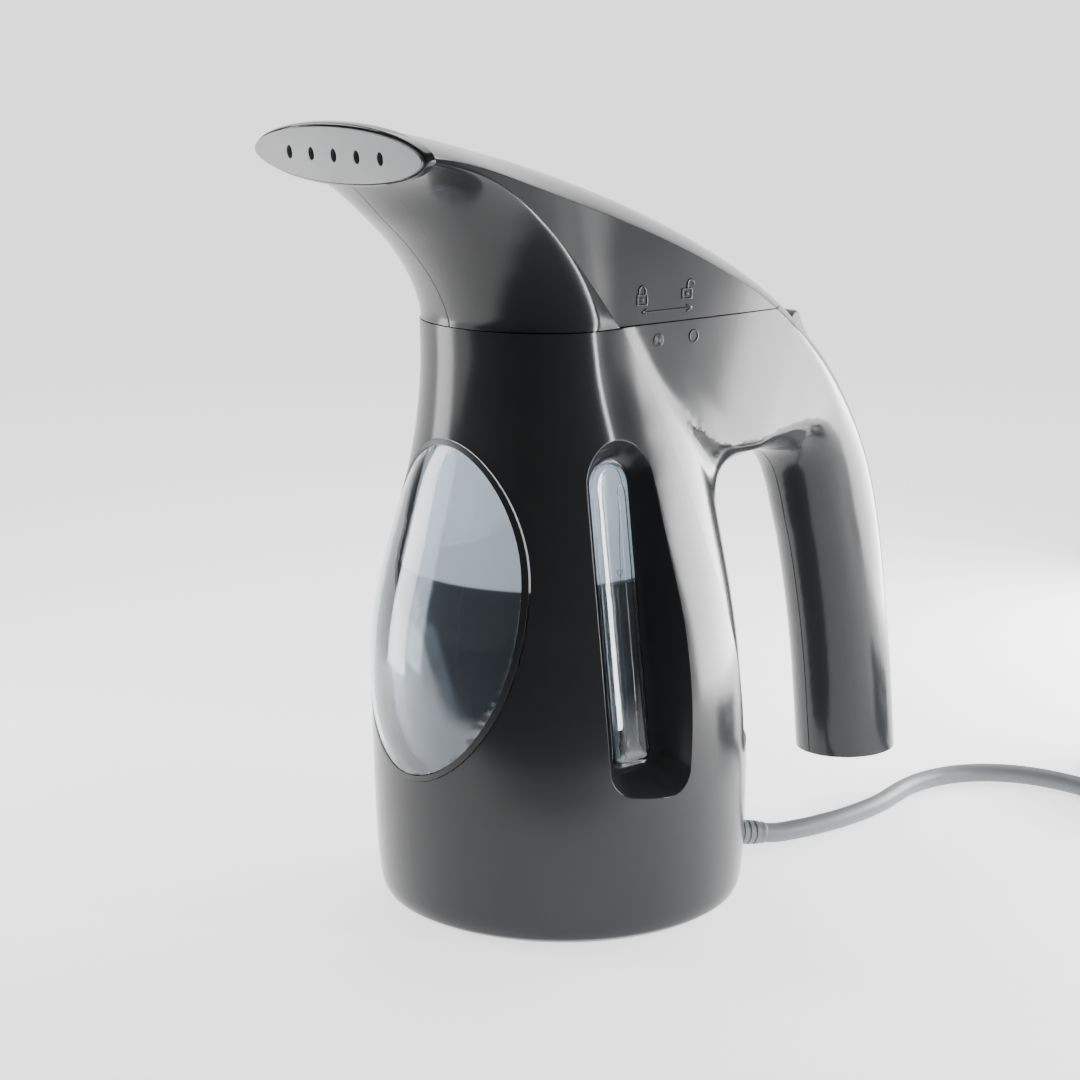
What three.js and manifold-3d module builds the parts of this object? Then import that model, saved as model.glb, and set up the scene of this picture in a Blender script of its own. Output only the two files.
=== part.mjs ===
// Handheld garment steamer, in millimetres. +Z is up, the steam leaves towards -Y, the handle is towards +Y,
// and the origin is the centre of the vessel's footprint on the surface that the steamer stands on.
import * as THREE from "three";
import { mergeVertices } from "three/addons/utils/BufferGeometryUtils.js";
import Module from "manifold-3d";

const wasm = await Module();
wasm.setup();

// ---- driving dimensions ------------------------------------------------------------------------------------
const WALL = 2.4; // moulded housing wall
const FIT = 0.3; // gap between pieces that meet
const SPLIT_Z = 194.5; // parting plane between the body and the lift-off head
const RIDGE_STEP = 1.3; // how far the front shell stands proud of the fin
const CUP_TOP_Z = 52; // the front housing is a full cup below this height
const HANDLE_END_Z = 22;
const VESSEL_WIDTH = 123.6; // across the vessel where it is widest

// The vessel's level sections: height, front, back, half width, and where it is widest.
const VESSEL = [
  [0, -56.5, 58.5, 57, 0],
  [2, -59.5, 61, 59.5, 0],
  [8, -61.5, 62.5, 60.8, 0],
  [25, -63, 63.5, 61.5, 0],
  [50, -64, 63.5, 61.8, 0],
  [75, -64, 62.5, 61.3, -2],
  [100, -61.5, 60, 58, -4],
  [130, -54, 57, 50, -8],
  [145, -50.3, 55.6, 46, -10.5],
  [160, -47.3, 53.6, 42.4, -13],
  [178, -45.7, 50, 39.2, -16],
  [196, -46, 45, 38, -18],
];
const WIDE = VESSEL_WIDTH / (2 * Math.max(...VESSEL.map((row) => row[3])));
// The nozzle's front shell, in sections that fan out from the parting plane to the steam plate: the underside's
// point (y, z), the ridge's point (y, z), the half width, and how full the section is at its sides.
const NOZZLE = [
  [-45.7, 193, -6, 193, 38, 2],
  [-46.6, 198, -9.6, 198, 37.6, 2],
  [-50.4, 206, -16, 206.5, 36.8, 1.9],
  [-55.5, 213.5, -25, 217, 36.3, 1.8],
  [-62.5, 221.5, -36.5, 228.5, 36.4, 1.7],
  [-71.5, 229.8, -50.5, 238.5, 37.6, 1.5],
  [-80.5, 238.4, -67, 245.5, 40, 1.4],
  [-92, 247.6, -92, 251, 44, 1.3],
];
// Fin and handle, in sections across the spine: the outer point (y, z), the inner point (y, z), the half width,
// the crown's height, how square its edge is (1 is a crisp edge, 2 an ellipse), and the inner end's crown.
const SPINE = [
  [-93, 258.4, -93, 247, 43, 8, 1.35, 3],
  [-80, 257.6, -76.3, 244.3, 40, 8.5, 1.3, 5],
  [-64.3, 255.1, -59, 238, 37.2, 9, 1.2, 8],
  [-45.2, 250.6, -38.8, 225.4, 35.4, 10, 1.1, 8],
  [-25.4, 245.4, -20, 208, 34.8, 11, 1.1, 6],
  [-4.9, 239, -6, 190, 34.8, 11, 1.1, 2],
  [16.4, 231.4, 6, 177, 34.4, 11, 1.1, 2],
  [38.5, 222.1, 22, 162, 33.6, 11, 1.1, 2],
  [61.5, 210.8, 40, 149, 32, 11, 1.1, 4],
  [80, 199.6, 58, 142.2, 29.6, 11.5, 1.2, 9],
  [93.5, 189.6, 71, 141.5, 27, 12, 1.3, 13],
  [106, 179, 84, 141.5, 24.2, 13, 1.5, 15],
  [117, 168, 92, 139, 21.6, 14.5, 1.7, 17],
  [128.5, 153, 98, 133, 19.4, 16.5, 1.9, 18],
  [137.5, 137, 101.8, 124, 18.2, 18, 2, 18.5],
  [143.4, 121.6, 105.2, 112, 17.6, 19, 2, 18.5],
  [147.6, 104, 108.9, 99, 17.5, 19, 2, 18.5],
  [151.4, 81, 113.7, 76, 17.5, 19, 2, 18.5],
  [155, 57, 117.2, 53, 17.5, 19, 2, 18.5],
  [158.6, 23, 120.9, 19, 17.5, 19, 2, 18.5],
];
// The ridge, where the proud front shell ends against the fin, as (y, z) from the nozzle down.
const RIDGE = [
  [-130, 256], [-86, 251], [-68, 247], [-52, 240], [-38, 230], [-21.6, 213.5], [-6.5, 194.5], [2.2, 181],
  [8.9, 168], [15.7, 149], [21.3, 129.6], [29.3, 101], [35.6, 78], [38, 62], [38.4, CUP_TOP_Z],
];

const WINDOW = { top: 159, bottom: 49.5, widest: 101, half: 38.5, rim: 1.6, proud: 2, thick: 2.4 };
// Side recess with its sight glass. Its floor leans with the vessel; u runs along Y, v up the floor.
const RECESS = {
  centre: [VESSEL_WIDTH / 2 - 19.2, -11.5, 104.5], lean: 7.7, depth: 10,
  floorHalf: 9.2, floorLow: -50, floorHigh: 50,
  mouthHalf: 15.2, mouthLow: -58.5, mouthHigh: 57.5, mouthShift: -2, corner: 5, liner: 1.6,
};
const GLASS = { inset: 1.2, proud: 2.4, behind: 2.2 };
const TANK = { gap: 1, wall: 1.8, bottom: 34, back: 49.4 - WALL, seal: 3.7 };
const NECK = { y: -12, bore: 25.5, wall: 4, deck: 3.2, deckDrop: 0.7, skirt: 17.5 };
const LUG = { reach: 1.7, height: 3, sweep: 26, turn: 22, count: 3, drop: 12.5 };
const BASE = {
  thick: 3, screwX: 35 * WIDE, screwY: 35, bossRadius: 4.6, bossTop: 22, padRadius: 7, padAt: 21.2,
  padDeep: 1.6, ribReach: 1.24,
};
const SCREW = { shank: 1.4, head: 3, headHigh: 2.2 };
const PLATE = { y: -84.2, z: 250.2, lean: 7.4, half: 43.5, high: 8.4, thick: 3.2, holes: 5, pitch: 11.8 };
const HOLE = { halfWide: 1.4, halfHigh: 2.05 };
const BEZEL = { grow: 1.2, deep: 3.4, step: 1.4, land: 3.6 };
const SWITCH = { y: 108.4, z: 177.1, slope: 42, length: 26, wide: 12, pivotDrop: 3, endGap: 1, sideGap: 0.4 };
const HEATER = { radius: 34, y: -8, plate: 4, coil: 26, coilRadius: 3.6 };
const CORD = { radius: 3.5, exit: [11, 62.2, 7.2], reliefLength: 20, reliefBig: 4.8, reliefSmall: 4.1 };
// The lead's route on the surface, from the relief's end to the coil.
const LEAD_ROUTE = [
  [17.2, 81, 4.2], [18.4, 84.8, 3.7], [20.4, 93, 3.6], [21.8, 104.5, 3.6], [21.9, 120, 3.6], [19.4, 138, 3.6],
  [15.8, 150, 3.6], [12.6, 161, 3.6], [11.4, 172, 3.6], [12.6, 183, 3.6], [16.8, 193.2, 3.6], [24, 201.6, 3.6],
  [33, 207.4, 3.6], [43, 210.6, 3.6], [53, 212, 3.6],
];
const COIL = { x: 81, y: 261.5, turns: [35, 42, 49], layers: 2 };
// From the top of the coil's outer turn, round to the plug that lies on the coil.
const TAIL_ROUTE = [
  [32, 261.5, 17.9], [32.9, 254, 18], [36, 246.5, 18.3], [40.8, 240.3, 19], [47, 235.5, 20.2],
  [54.2, 232.5, 21.6],
  [61, 231.6, 22.6], [66, 231.5, 22.8],
];
const PLUG = {
  long: 32, wide: 25, high: 17, neck: 12, bladeLong: 17, bladeHigh: 6.3, bladeThick: 1.5, pitch: 12.7,
};

const DECK_TOP = SPLIT_Z - NECK.deckDrop;
const LUG_BOTTOM = SPLIT_Z - LUG.drop;
const TANK_TOP = DECK_TOP - NECK.skirt - TANK.seal - 2 * FIT;

// ---- geometry helpers --------------------------------------------------------------------------------------
const rad = THREE.MathUtils.degToRad;
const V = (x, y, z) => new THREE.Vector3(x, y, z);

/** A closed three.js geometry as a manifold solid, with its faces turned outward. */
function solid(geometry) {
  const g = geometry.index ? geometry.toNonIndexed() : geometry.clone();
  for (const name of Object.keys(g.attributes)) if (name !== "position") g.deleteAttribute(name);
  const merged = mergeVertices(g, 1e-4);
  const p = merged.attributes.position.array;
  const tris = [];
  let volume = 0;
  for (let i = 0; i < merged.index.count; i += 3) {
    const [a, b, c] = merged.index.array.slice(i, i + 3);
    if (a === b || b === c || c === a) continue;
    tris.push(a, b, c);
    const at = (k) => V(p[3 * k], p[3 * k + 1], p[3 * k + 2]);
    volume += at(a).dot(at(b).cross(at(c)));
  }
  if (volume < 0) for (let i = 0; i < tris.length; i += 3) [tris[i], tris[i + 1]] = [tris[i + 1], tris[i]];
  return new wasm.Manifold(
    new wasm.Mesh({ numProp: 3, vertProperties: new Float32Array(p), triVerts: new Uint32Array(tris) }),
  );
}

/** A solid through rings of equal point count, closed at both ends. */
function loft(rings) {
  const n = rings[0].length;
  const points = rings.flat();
  const index = [];
  for (let r = 0; r + 1 < rings.length; r++) {
    for (let i = 0; i < n; i++) {
      const a = r * n + i;
      const b = r * n + ((i + 1) % n);
      index.push(a, b, b + n, a, b + n, a + n);
    }
  }
  for (const [start, flip] of [[0, true], [(rings.length - 1) * n, false]]) {
    const middle = V(0, 0, 0);
    for (let i = 0; i < n; i++) middle.addScaledVector(points[start + i], 1 / n);
    points.push(middle);
    for (let i = 0; i < n; i++) {
      const a = start + i;
      const b = start + ((i + 1) % n);
      index.push(...(flip ? [b, a, points.length - 1] : [a, b, points.length - 1]));
    }
  }
  return solid(new THREE.BufferGeometry().setFromPoints(points).setIndex(index));
}

/** An outline extruded from depth 0 to long, then carried by a matrix. */
function extrude(outline, long, matrix) {
  const shape = outline instanceof THREE.Shape
    ? outline : new THREE.Shape(outline.map(([x, y]) => V(x, y, 0)));
  const g = new THREE.ExtrudeGeometry(shape, { depth: long, bevelEnabled: false, curveSegments: 10 });
  return solid(g.applyMatrix4(matrix));
}

const frameAt = (x, y, z, at) => new THREE.Matrix4().makeBasis(x, y, z).setPosition(at);

/** A (y, z) outline extruded along X from x0 to x1. */
const acrossX = (outline, x0, x1) =>
  extrude(outline, x1 - x0, frameAt(V(0, 1, 0), V(0, 0, 1), V(1, 0, 0), V(x0, 0, 0)));

/** An (x, z) outline extruded along Y from y0 back to y1, with y0 the larger. */
const alongY = (outline, y0, y1) =>
  extrude(outline, y0 - y1, frameAt(V(1, 0, 0), V(0, 0, 1), V(0, -1, 0), V(0, y0, 0)));

function block(x0, x1, y0, y1, z0, z1) {
  const g = new THREE.BoxGeometry(x1 - x0, y1 - y0, z1 - z0);
  return solid(g.translate((x0 + x1) / 2, (y0 + y1) / 2, (z0 + z1) / 2));
}

/** A solid of revolution: (radius, height) pairs from axis to axis, standing at a point along a direction. */
function turned(profile, at, direction = V(0, 0, 1), segments = 16) {
  const g = new THREE.LatheGeometry(profile.map(([r, h]) => new THREE.Vector2(r, h)), segments);
  g.applyQuaternion(new THREE.Quaternion().setFromUnitVectors(V(0, 1, 0), direction.clone().normalize()));
  return solid(g.translate(at.x, at.y, at.z));
}

const rod = (radius, at, direction, long, segments = 16) =>
  turned([[0, 0], [radius, 0], [radius, long], [0, long]], at, direction, segments);

const ringAt = (inner, outer, x, y, z0, z1, segments = 24) =>
  turned([[inner, 0], [outer, 0], [outer, z1 - z0], [inner, z1 - z0], [inner, 0]],
    V(x, y, z0), V(0, 0, 1), segments);

/** Reads a table of rows by its first column, with a smooth curve through each other column. */
function through(table, at) {
  let k = table.findIndex((row) => row[0] > at) - 1;
  if (k < 0) k = at < table[0][0] ? 0 : table.length - 2;
  const [a, b] = [table[k], table[k + 1]];
  const before = table[Math.max(k - 1, 0)];
  const after = table[Math.min(k + 2, table.length - 1)];
  const h = b[0] - a[0];
  const t = THREE.MathUtils.clamp((at - a[0]) / h, -0.2, 1.2);
  return a.slice(1).map((p, i) => {
    const c = i + 1;
    const slopeA = ((b[c] - before[c]) / (b[0] - before[0])) * h;
    const slopeB = ((after[c] - a[c]) / (after[0] - a[0])) * h;
    return (
      p * (2 * t ** 3 - 3 * t ** 2 + 1) + slopeA * (t ** 3 - 2 * t ** 2 + t) +
      b[c] * (3 * t ** 2 - 2 * t ** 3) + slopeB * (t ** 3 - t ** 2)
    );
  });
}

// ---- outer forms -------------------------------------------------------------------------------------------
const VESSEL_SIDES = 28;

/** The vessel grown or shrunk by a wall, between two heights. */
function vessel(grow, z0, z1) {
  const heights = [z0, ...VESSEL.map((row) => row[0]).filter((z) => z > z0 + 1 && z < z1 - 1), z1];
  return loft(heights.map((z) => {
    const [front, back, half, middle] = through(VESSEL, Math.max(z, 0));
    return Array.from({ length: VESSEL_SIDES }, (_, i) => {
      const a = (2 * Math.PI * i) / VESSEL_SIDES;
      const reach = Math.cos(a) > 0 ? middle - front + grow : back - middle + grow;
      return V((half * WIDE + grow) * Math.sin(a), middle - reach * Math.cos(a), z);
    });
  }));
}

/** The nozzle's front shell, from below the parting plane to past the steam plate. */
function nozzle(grow) {
  const steps = 12;
  return loft(NOZZLE.map(([ly, lz, uy, uz, tableHalf, full], row) => {
    const half = tableHalf * (1 + (WIDE - 1) * (1 - row / (NOZZLE.length - 1)));
    const low = V(0, ly, lz);
    const up = V(0, uy, uz).sub(low);
    const span = up.length();
    up.normalize();
    const widest = THREE.MathUtils.lerp(28, span, Math.min(1, row / 4));
    const reach = Math.min(widest, span) + grow;
    const ring = [];
    for (let i = 0; i <= steps; i++) {
      const a = -Math.PI / 2 + (Math.PI * i) / steps;
      const d = reach * (1 - Math.cos(a) ** (2 / full)) - grow;
      ring.push(low.clone().addScaledVector(up, d).setX((half + grow) * Math.sin(a)));
    }
    const end = span + 6;
    ring.push(low.clone().addScaledVector(up, end).setX(half + grow - 4));
    ring.push(low.clone().addScaledVector(up, end).setX(4 - half - grow));
    return ring;
  }));
}

/** The fin and handle as one form. */
function spine(grow) {
  const steps = 10;
  return loft(SPINE.map(([oy, oz, iy, iz, half, crown, square, innerCrown]) => {
    const outer = V(0, oy, oz);
    const down = V(0, iy, iz).sub(outer);
    const deep = down.length();
    down.normalize();
    const ring = [];
    for (let i = 0; i <= steps; i++) {
      const a = -Math.PI / 2 + (Math.PI * i) / steps;
      const d = (crown + grow) * (1 - Math.cos(a) ** (2 / square)) - grow;
      ring.push(outer.clone().addScaledVector(down, d).setX((half + grow) * Math.sin(a)));
    }
    for (let i = 0; i <= steps; i++) {
      const a = Math.PI / 2 - (Math.PI * i) / steps;
      const d = deep + grow - Math.max(innerCrown + grow, 0.5) * (1 - Math.cos(a));
      ring.push(outer.clone().addScaledVector(down, d).setX((half + grow) * Math.sin(a)));
    }
    return ring;
  }));
}

/** Everything in front of the ridge and below the cup's rim, with the boundary moved back by a gap. */
const beforeRidge = (gap) =>
  acrossX([...RIDGE.map(([y, z]) => [y + gap, z + gap * 0.5]), [90, CUP_TOP_Z + gap], [90, -20], [-130, -20]],
    -80, 80);

const below = (z) => block(-120, 120, -200, 250, -50, z);
const above = (z) => block(-120, 120, -200, 250, z, 400);

/** The window's egg-shaped outline as (x, z), grown by a margin. */
function windowOutline(grow) {
  const { top, bottom, widest, half } = WINDOW;
  const sides = 28;
  return Array.from({ length: sides }, (_, i) => {
    const a = (2 * Math.PI * i) / sides;
    const reach = Math.sin(a) > 0 ? top - widest + grow : widest - bottom + grow;
    return [(half + grow) * Math.cos(a), widest + reach * Math.sin(a)];
  });
}
const windowPrism = (grow) => alongY(windowOutline(grow), -20, -90);

// ---- side recess -------------------------------------------------------------------------------------------
/** A ring with a round top and rounded lower corners, in the recess's leaning frame on one side. */
function slotRing(side, half, low, high, corner, w, shift) {
  const lean = rad(RECESS.lean);
  const up = V(-Math.sin(lean), 0, Math.cos(lean));
  const out = V(Math.cos(lean), 0, Math.sin(lean));
  const arcs = [
    [0, high - half, half, 0, 180, 8],
    [corner - half, low + corner, corner, 180, 270, 2],
    [half - corner, low + corner, corner, 270, 360, 2],
  ];
  return arcs.flatMap(([u, v, r, from, to, n]) =>
    Array.from({ length: n + 1 }, (_, i) => {
      const a = rad(from + ((to - from) * i) / n);
      const p = V(...RECESS.centre).addScaledVector(up, v + r * Math.sin(a)).addScaledVector(out, w);
      p.y += u + r * Math.cos(a) + shift;
      p.x *= side;
      return p;
    }),
  );
}

/** The recess as a drafted solid, with walls moved out by grow. */
function recess(side, grow) {
  const { depth, floorHalf, floorLow, floorHigh, mouthHalf, mouthLow, mouthHigh, mouthShift, corner } = RECESS;
  const at = (w) => {
    const t = w / depth;
    const mix = (a, b) => a + (b - a) * t;
    return slotRing(side, mix(floorHalf, mouthHalf) + grow, mix(floorLow, mouthLow) - grow,
      mix(floorHigh, mouthHigh) + grow, mix(corner, corner + 3) + grow, w, mouthShift * t);
  };
  return loft([at(-grow), at(depth * 2)]);
}

/** A straight plug in the recess's floor, inset from the floor's edge, between two depths. */
const floorPlug = (side, inset, w0, w1) =>
  loft([w0, w1].map((w) => slotRing(side, RECESS.floorHalf - inset, RECESS.floorLow + inset,
    RECESS.floorHigh - inset, RECESS.corner - inset, w, 0)));

// ---- materials ---------------------------------------------------------------------------------------------
const finish = (color, roughness, metalness = 0, opacity = 1) =>
  new THREE.MeshStandardMaterial({ color, roughness, metalness, opacity, transparent: opacity < 1 });
const graphite = finish(0x5a5a5a, 0.2);
const silver = finish(0xa8a8a8, 0.45);
const dark = finish(0x2c2d30, 0.4);
const clear = finish(0xcfd8e0, 0.05, 0, 0.35);
const rubber = finish(0x3a3b3d, 0.8);
const cordGrey = finish(0x8a8d90, 0.55);
const aluminium = finish(0xb9bcc0, 0.35, 1);
const steel = finish(0xc8c8c8, 0.3, 1);
const white = finish(0xe4e4e2, 0.5);

const steamer = new THREE.Group();
const body = new THREE.Group();
const head = new THREE.Group();
const rocker = new THREE.Group();
steamer.add(body, head, rocker);

function piece(group, name, shape, material) {
  const m = shape.getMesh();
  const g = new THREE.BufferGeometry()
    .setAttribute("position", new THREE.BufferAttribute(new Float32Array(m.vertProperties), 3))
    .setIndex(new THREE.BufferAttribute(new Uint32Array(m.triVerts), 1));
  const made = new THREE.Mesh(g, material);
  made.name = name;
  group.add(made);
}

const SIDES = [["right", 1], ["left", -1]];
const halfSpace = (side) => {
  const [x0, x1] = side > 0 ? [FIT / 2, 120] : [-120, -FIT / 2];
  return block(x0, x1, -200, 250, -50, 400);
};

// ---- screws that close the halves, all driven from the left ------------------------------------------------
/** The post, the hole and the screw of one cross screw at (y, z); outside is the left skin's distance. */
function crossScrew(y, z, outside) {
  const from = V(-outside, y, z);
  const right = V(1, 0, 0);
  return {
    post: rod(4.2, from, right, 2 * outside, 10),
    hole: rod(SCREW.shank + FIT, from, right, 2 * outside - 10, 8)
      .add(rod(SCREW.head + FIT, V(-outside - 10, y, z), right, 10 + SCREW.headHigh + 4, 12)),
    screw: rod(SCREW.shank, V(4 - outside, y, z), right, 2 * outside - 15, 8)
      .add(rod(SCREW.head, V(4 - outside - SCREW.headHigh, y, z), right, SCREW.headHigh, 12)),
  };
}
const BODY_SCREWS = [[76, 159, 29], [132, 112, 17], [137, 40, 17]].map((s) => crossScrew(...s));
const HEAD_SCREWS = [[6, 222, 34.5], [56, 203, 32]].map((s) => crossScrew(...s));

// ---- switch ------------------------------------------------------------------------------------------------
const along = V(0, Math.cos(rad(SWITCH.slope)), -Math.sin(rad(SWITCH.slope)));
const outward = V(0, Math.sin(rad(SWITCH.slope)), Math.cos(rad(SWITCH.slope)));
/** An outline in the switch's own (along, outward) frame, as wide as given. */
const atSwitch = (outline, wide) =>
  extrude(outline, wide, frameAt(along, outward, V(-1, 0, 0), V(wide / 2, SWITCH.y, SWITCH.z)));
const reach = SWITCH.length / 2;
const holeReach = reach + SWITCH.endGap;
const switchHole = atSwitch([[-holeReach, -10], [holeReach, -10], [holeReach, 8], [-holeReach, 8]],
  SWITCH.wide + 2 * SWITCH.sideGap);

// ---- body --------------------------------------------------------------------------------------------------
const reliefDirection = V(...LEAD_ROUTE[0]).sub(V(...CORD.exit)).normalize();
const exit = V(...CORD.exit);
const reliefPath = rod(CORD.reliefBig + FIT, exit.clone().addScaledVector(reliefDirection, -8),
  reliefDirection, 16, 20);

function frontHousing() {
  let f = vessel(0, 0, SPLIT_Z - FIT / 2).intersect(beforeRidge(0));
  f = f.subtract(vessel(-WALL, -2, SPLIT_Z + 5));
  for (const [, side] of SIDES) {
    f = f.add(recess(side, RECESS.liner).intersect(vessel(-0.5, CUP_TOP_Z - 20, SPLIT_Z - 5)));
    f = f.subtract(recess(side, 0)).subtract(floorPlug(side, GLASS.inset, -6, 2));
  }
  f = f.subtract(windowPrism(0));
  for (const [x, y] of basePlaces(BASE.screwX, BASE.screwY)) {
    const post = rod(BASE.bossRadius, V(x, y, BASE.thick + FIT), V(0, 0, 1), BASE.bossTop - BASE.thick, 10);
    const outer = BASE.ribReach;
    const rib = block(Math.min(x, x * outer), Math.max(x, x * outer),
      Math.min(y, y * outer), Math.max(y, y * outer), BASE.thick + FIT, BASE.bossTop);
    f = f.add(post.add(rib).intersect(vessel(-0.5, 0, 40)));
    f = f.subtract(rod(SCREW.shank + FIT, V(x, y, 0), V(0, 0, 1), BASE.bossTop - 4, 8));
  }
  return f.subtract(reliefPath);
}

/** The four corners of a rectangle round the origin. */
const basePlaces = (x, y) => [[x, y], [-x, y], [-x, -y], [x, -y]];

function rearHousing() {
  const skin = spine(0).add(vessel(-RIDGE_STEP, 30, SPLIT_Z + 4));
  const bottom = below(HANDLE_END_Z);
  let r = skin.subtract(spine(-WALL).subtract(below(HANDLE_END_Z + WALL)));
  r = r.subtract(vessel(-WALL - RIDGE_STEP, 20, SPLIT_Z + 8));
  for (const s of BODY_SCREWS) r = r.add(s.post.intersect(spine(-1)));
  for (const s of BODY_SCREWS) r = r.subtract(s.hole);
  r = r.subtract(beforeRidge(FIT)).subtract(above(SPLIT_Z - FIT / 2)).subtract(bottom);
  return r.subtract(switchHole);
}

piece(body, "front_housing", frontHousing(), graphite);
const rear = rearHousing();
for (const [name, side] of SIDES)
  piece(body, `rear_housing_${name}`, rear.intersect(halfSpace(side)), graphite);
BODY_SCREWS.forEach((s, i) => piece(body, `body_screw_${i + 1}`, s.screw, steel));

function baseCover() {
  let b = vessel(-WALL - FIT, 0, BASE.thick).subtract(reliefPath);
  for (const [x, y] of basePlaces(BASE.screwX, BASE.screwY)) {
    b = b.subtract(rod(SCREW.shank + FIT, V(x, y, -1), V(0, 0, 1), 10, 8));
    b = b.subtract(rod(SCREW.head + FIT, V(x, y, -1), V(0, 0, 1), 1 + SCREW.headHigh / 2, 12));
  }
  for (const [x, y] of basePlaces(BASE.padAt, BASE.padAt)) {
    b = b.subtract(rod(BASE.padRadius + FIT, V(x, y, -1), V(0, 0, 1), 1 + BASE.padDeep, 14));
  }
  return b;
}
piece(body, "base_cover", baseCover(), dark);
basePlaces(BASE.screwX, BASE.screwY).forEach(([x, y], i) => {
  const s = rod(SCREW.head, V(x, y, 0.2), V(0, 0, 1), SCREW.headHigh / 2 - 0.5, 12)
    .add(rod(SCREW.shank, V(x, y, 0.2), V(0, 0, 1), 16, 8));
  piece(body, `base_screw_${i + 1}`, s, steel);
});
basePlaces(BASE.padAt, BASE.padAt).forEach(([x, y], i) =>
  piece(body, `foot_pad_${i + 1}`,
    rod(BASE.padRadius, V(x, y, 0), V(0, 0, 1), BASE.padDeep - FIT, 14), rubber));

const windowSkin = (outside, inside) => vessel(outside, 40, 170).subtract(vessel(inside, 36, 174));
piece(body, "window_gasket",
  windowSkin(0.5, -WALL - 0.6).intersect(windowPrism(-FIT).subtract(windowPrism(-FIT - WINDOW.rim))), rubber);
piece(body, "window_lens",
  windowSkin(WINDOW.proud, WINDOW.proud - WINDOW.thick).intersect(windowPrism(-2 * FIT - WINDOW.rim)), clear);
for (const [name, side] of SIDES) {
  piece(body, `sight_glass_${name}`, floorPlug(side, GLASS.inset + FIT, -GLASS.behind, GLASS.proud), clear);
}

function waterTank() {
  const clearOf = (grow) =>
    vessel(-WALL - RIDGE_STEP - TANK.gap - grow, TANK.bottom + grow, TANK_TOP - grow)
      .subtract(block(-100, 100, TANK.back - grow, 100, 0, 300))
      .subtract(recess(1, GLASS.behind + FIT + grow)).subtract(recess(-1, GLASS.behind + FIT + grow));
  return clearOf(0).subtract(clearOf(TANK.wall))
    .subtract(rod(HEATER.radius - 4, V(0, HEATER.y, TANK.bottom - 5), V(0, 0, 1), 12))
    .subtract(rod(NECK.bore, V(0, NECK.y, TANK_TOP - 10), V(0, 0, 1), 20, 28));
}
piece(body, "water_tank", waterTank(), clear);

// Heater stack under the tank, from the tank's floor down.
const seatZ = TANK.bottom - FIT;
piece(body, "heater_seal",
  ringAt(HEATER.radius - 3.5, HEATER.radius, 0, HEATER.y, seatZ - 1.6, seatZ), rubber);
const plateTop = seatZ - 1.6 - FIT;
piece(body, "heater_plate",
  rod(HEATER.radius, V(0, HEATER.y, plateTop - HEATER.plate), V(0, 0, 1), HEATER.plate, 20)
    .add(rod(HEATER.radius - 5, V(0, HEATER.y, plateTop - 1), V(0, 0, 1), TANK.bottom - plateTop + 2.2, 20)),
  aluminium);
const coilTop = plateTop - HEATER.plate - FIT;
piece(body, "heating_element",
  ringAt(HEATER.coil - HEATER.coilRadius, HEATER.coil + HEATER.coilRadius,
    0, HEATER.y, coilTop - 6.5, coilTop)
    .subtract(block(-5, 5, HEATER.y, HEATER.y + 60, 0, 60)), steel);
piece(body, "thermostat", rod(8, V(0, HEATER.y, coilTop - 7), V(0, 0, 1), 7)
  .add(block(-11, 11, HEATER.y - 3, HEATER.y + 3, coilTop - 5, coilTop - 4)), aluminium);
piece(body, "thermal_fuse", rod(2.2, V(-7, HEATER.y + 14, coilTop - 3), V(1, 0, 0), 14, 12), white);
piece(body, "terminal_block", block(-14, 14, 34, 46, BASE.thick + FIT, BASE.thick + 10), white);

// The wire from the terminal block up the back of the vessel and into the handle, to the switch.
function tubeAlong(points, radius, sides, steps) {
  const circle = new THREE.Shape();
  for (let i = 0; i < sides; i++) {
    const a = (2 * Math.PI * i) / sides;
    circle[i ? "lineTo" : "moveTo"](radius * Math.cos(a), radius * Math.sin(a));
  }
  const path = new THREE.CatmullRomCurve3(points.map((p) => V(...p)));
  return solid(new THREE.ExtrudeGeometry(circle, { steps, extrudePath: path, bevelEnabled: false }));
}
const wireY = 51.8 - WALL;
piece(body, "switch_wire", tubeAlong([[0, wireY, 14], [0, wireY, 40], [0, wireY, 80], [0, wireY, 115],
  [0, wireY - 0.2, 135], [0, wireY + 0.6, 150], [0, 57, 163], [0, 70, 171.5], [0, 88.3, 174.3]],
  1.8, 8, 18), dark);

// ---- neck --------------------------------------------------------------------------------------------------
/** The hollow inside the housing at the parting plane, between two heights, with a gap to its wall. */
const deckPlate = (front, z0, z1) => spine(-WALL - FIT).add(front).intersect(above(z0)).intersect(below(z1));
const axisNeck = (r, z0, z1) => rod(r, V(0, NECK.y, z0), V(0, 0, 1), z1 - z0, 28);

/** Wedge-shaped sectors round the neck's axis, one per lug, from an angle over a sweep. */
function sectors(start, sweep, inner, outer, z0, z1) {
  const all = Array.from({ length: LUG.count }, (_, k) => {
    const from = start + (360 / LUG.count) * k;
    const arc = (r, n) => Array.from({ length: n + 1 }, (_, i) => {
      const a = rad(from + (sweep * i) / n);
      return [r * Math.cos(a), r * Math.sin(a)];
    });
    const outline = [...arc(outer, 5), ...arc(inner, 5).reverse()];
    return extrude(outline, z1 - z0, new THREE.Matrix4().makeTranslation(0, NECK.y, z0));
  });
  return all.reduce((a, b) => a.add(b));
}

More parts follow.
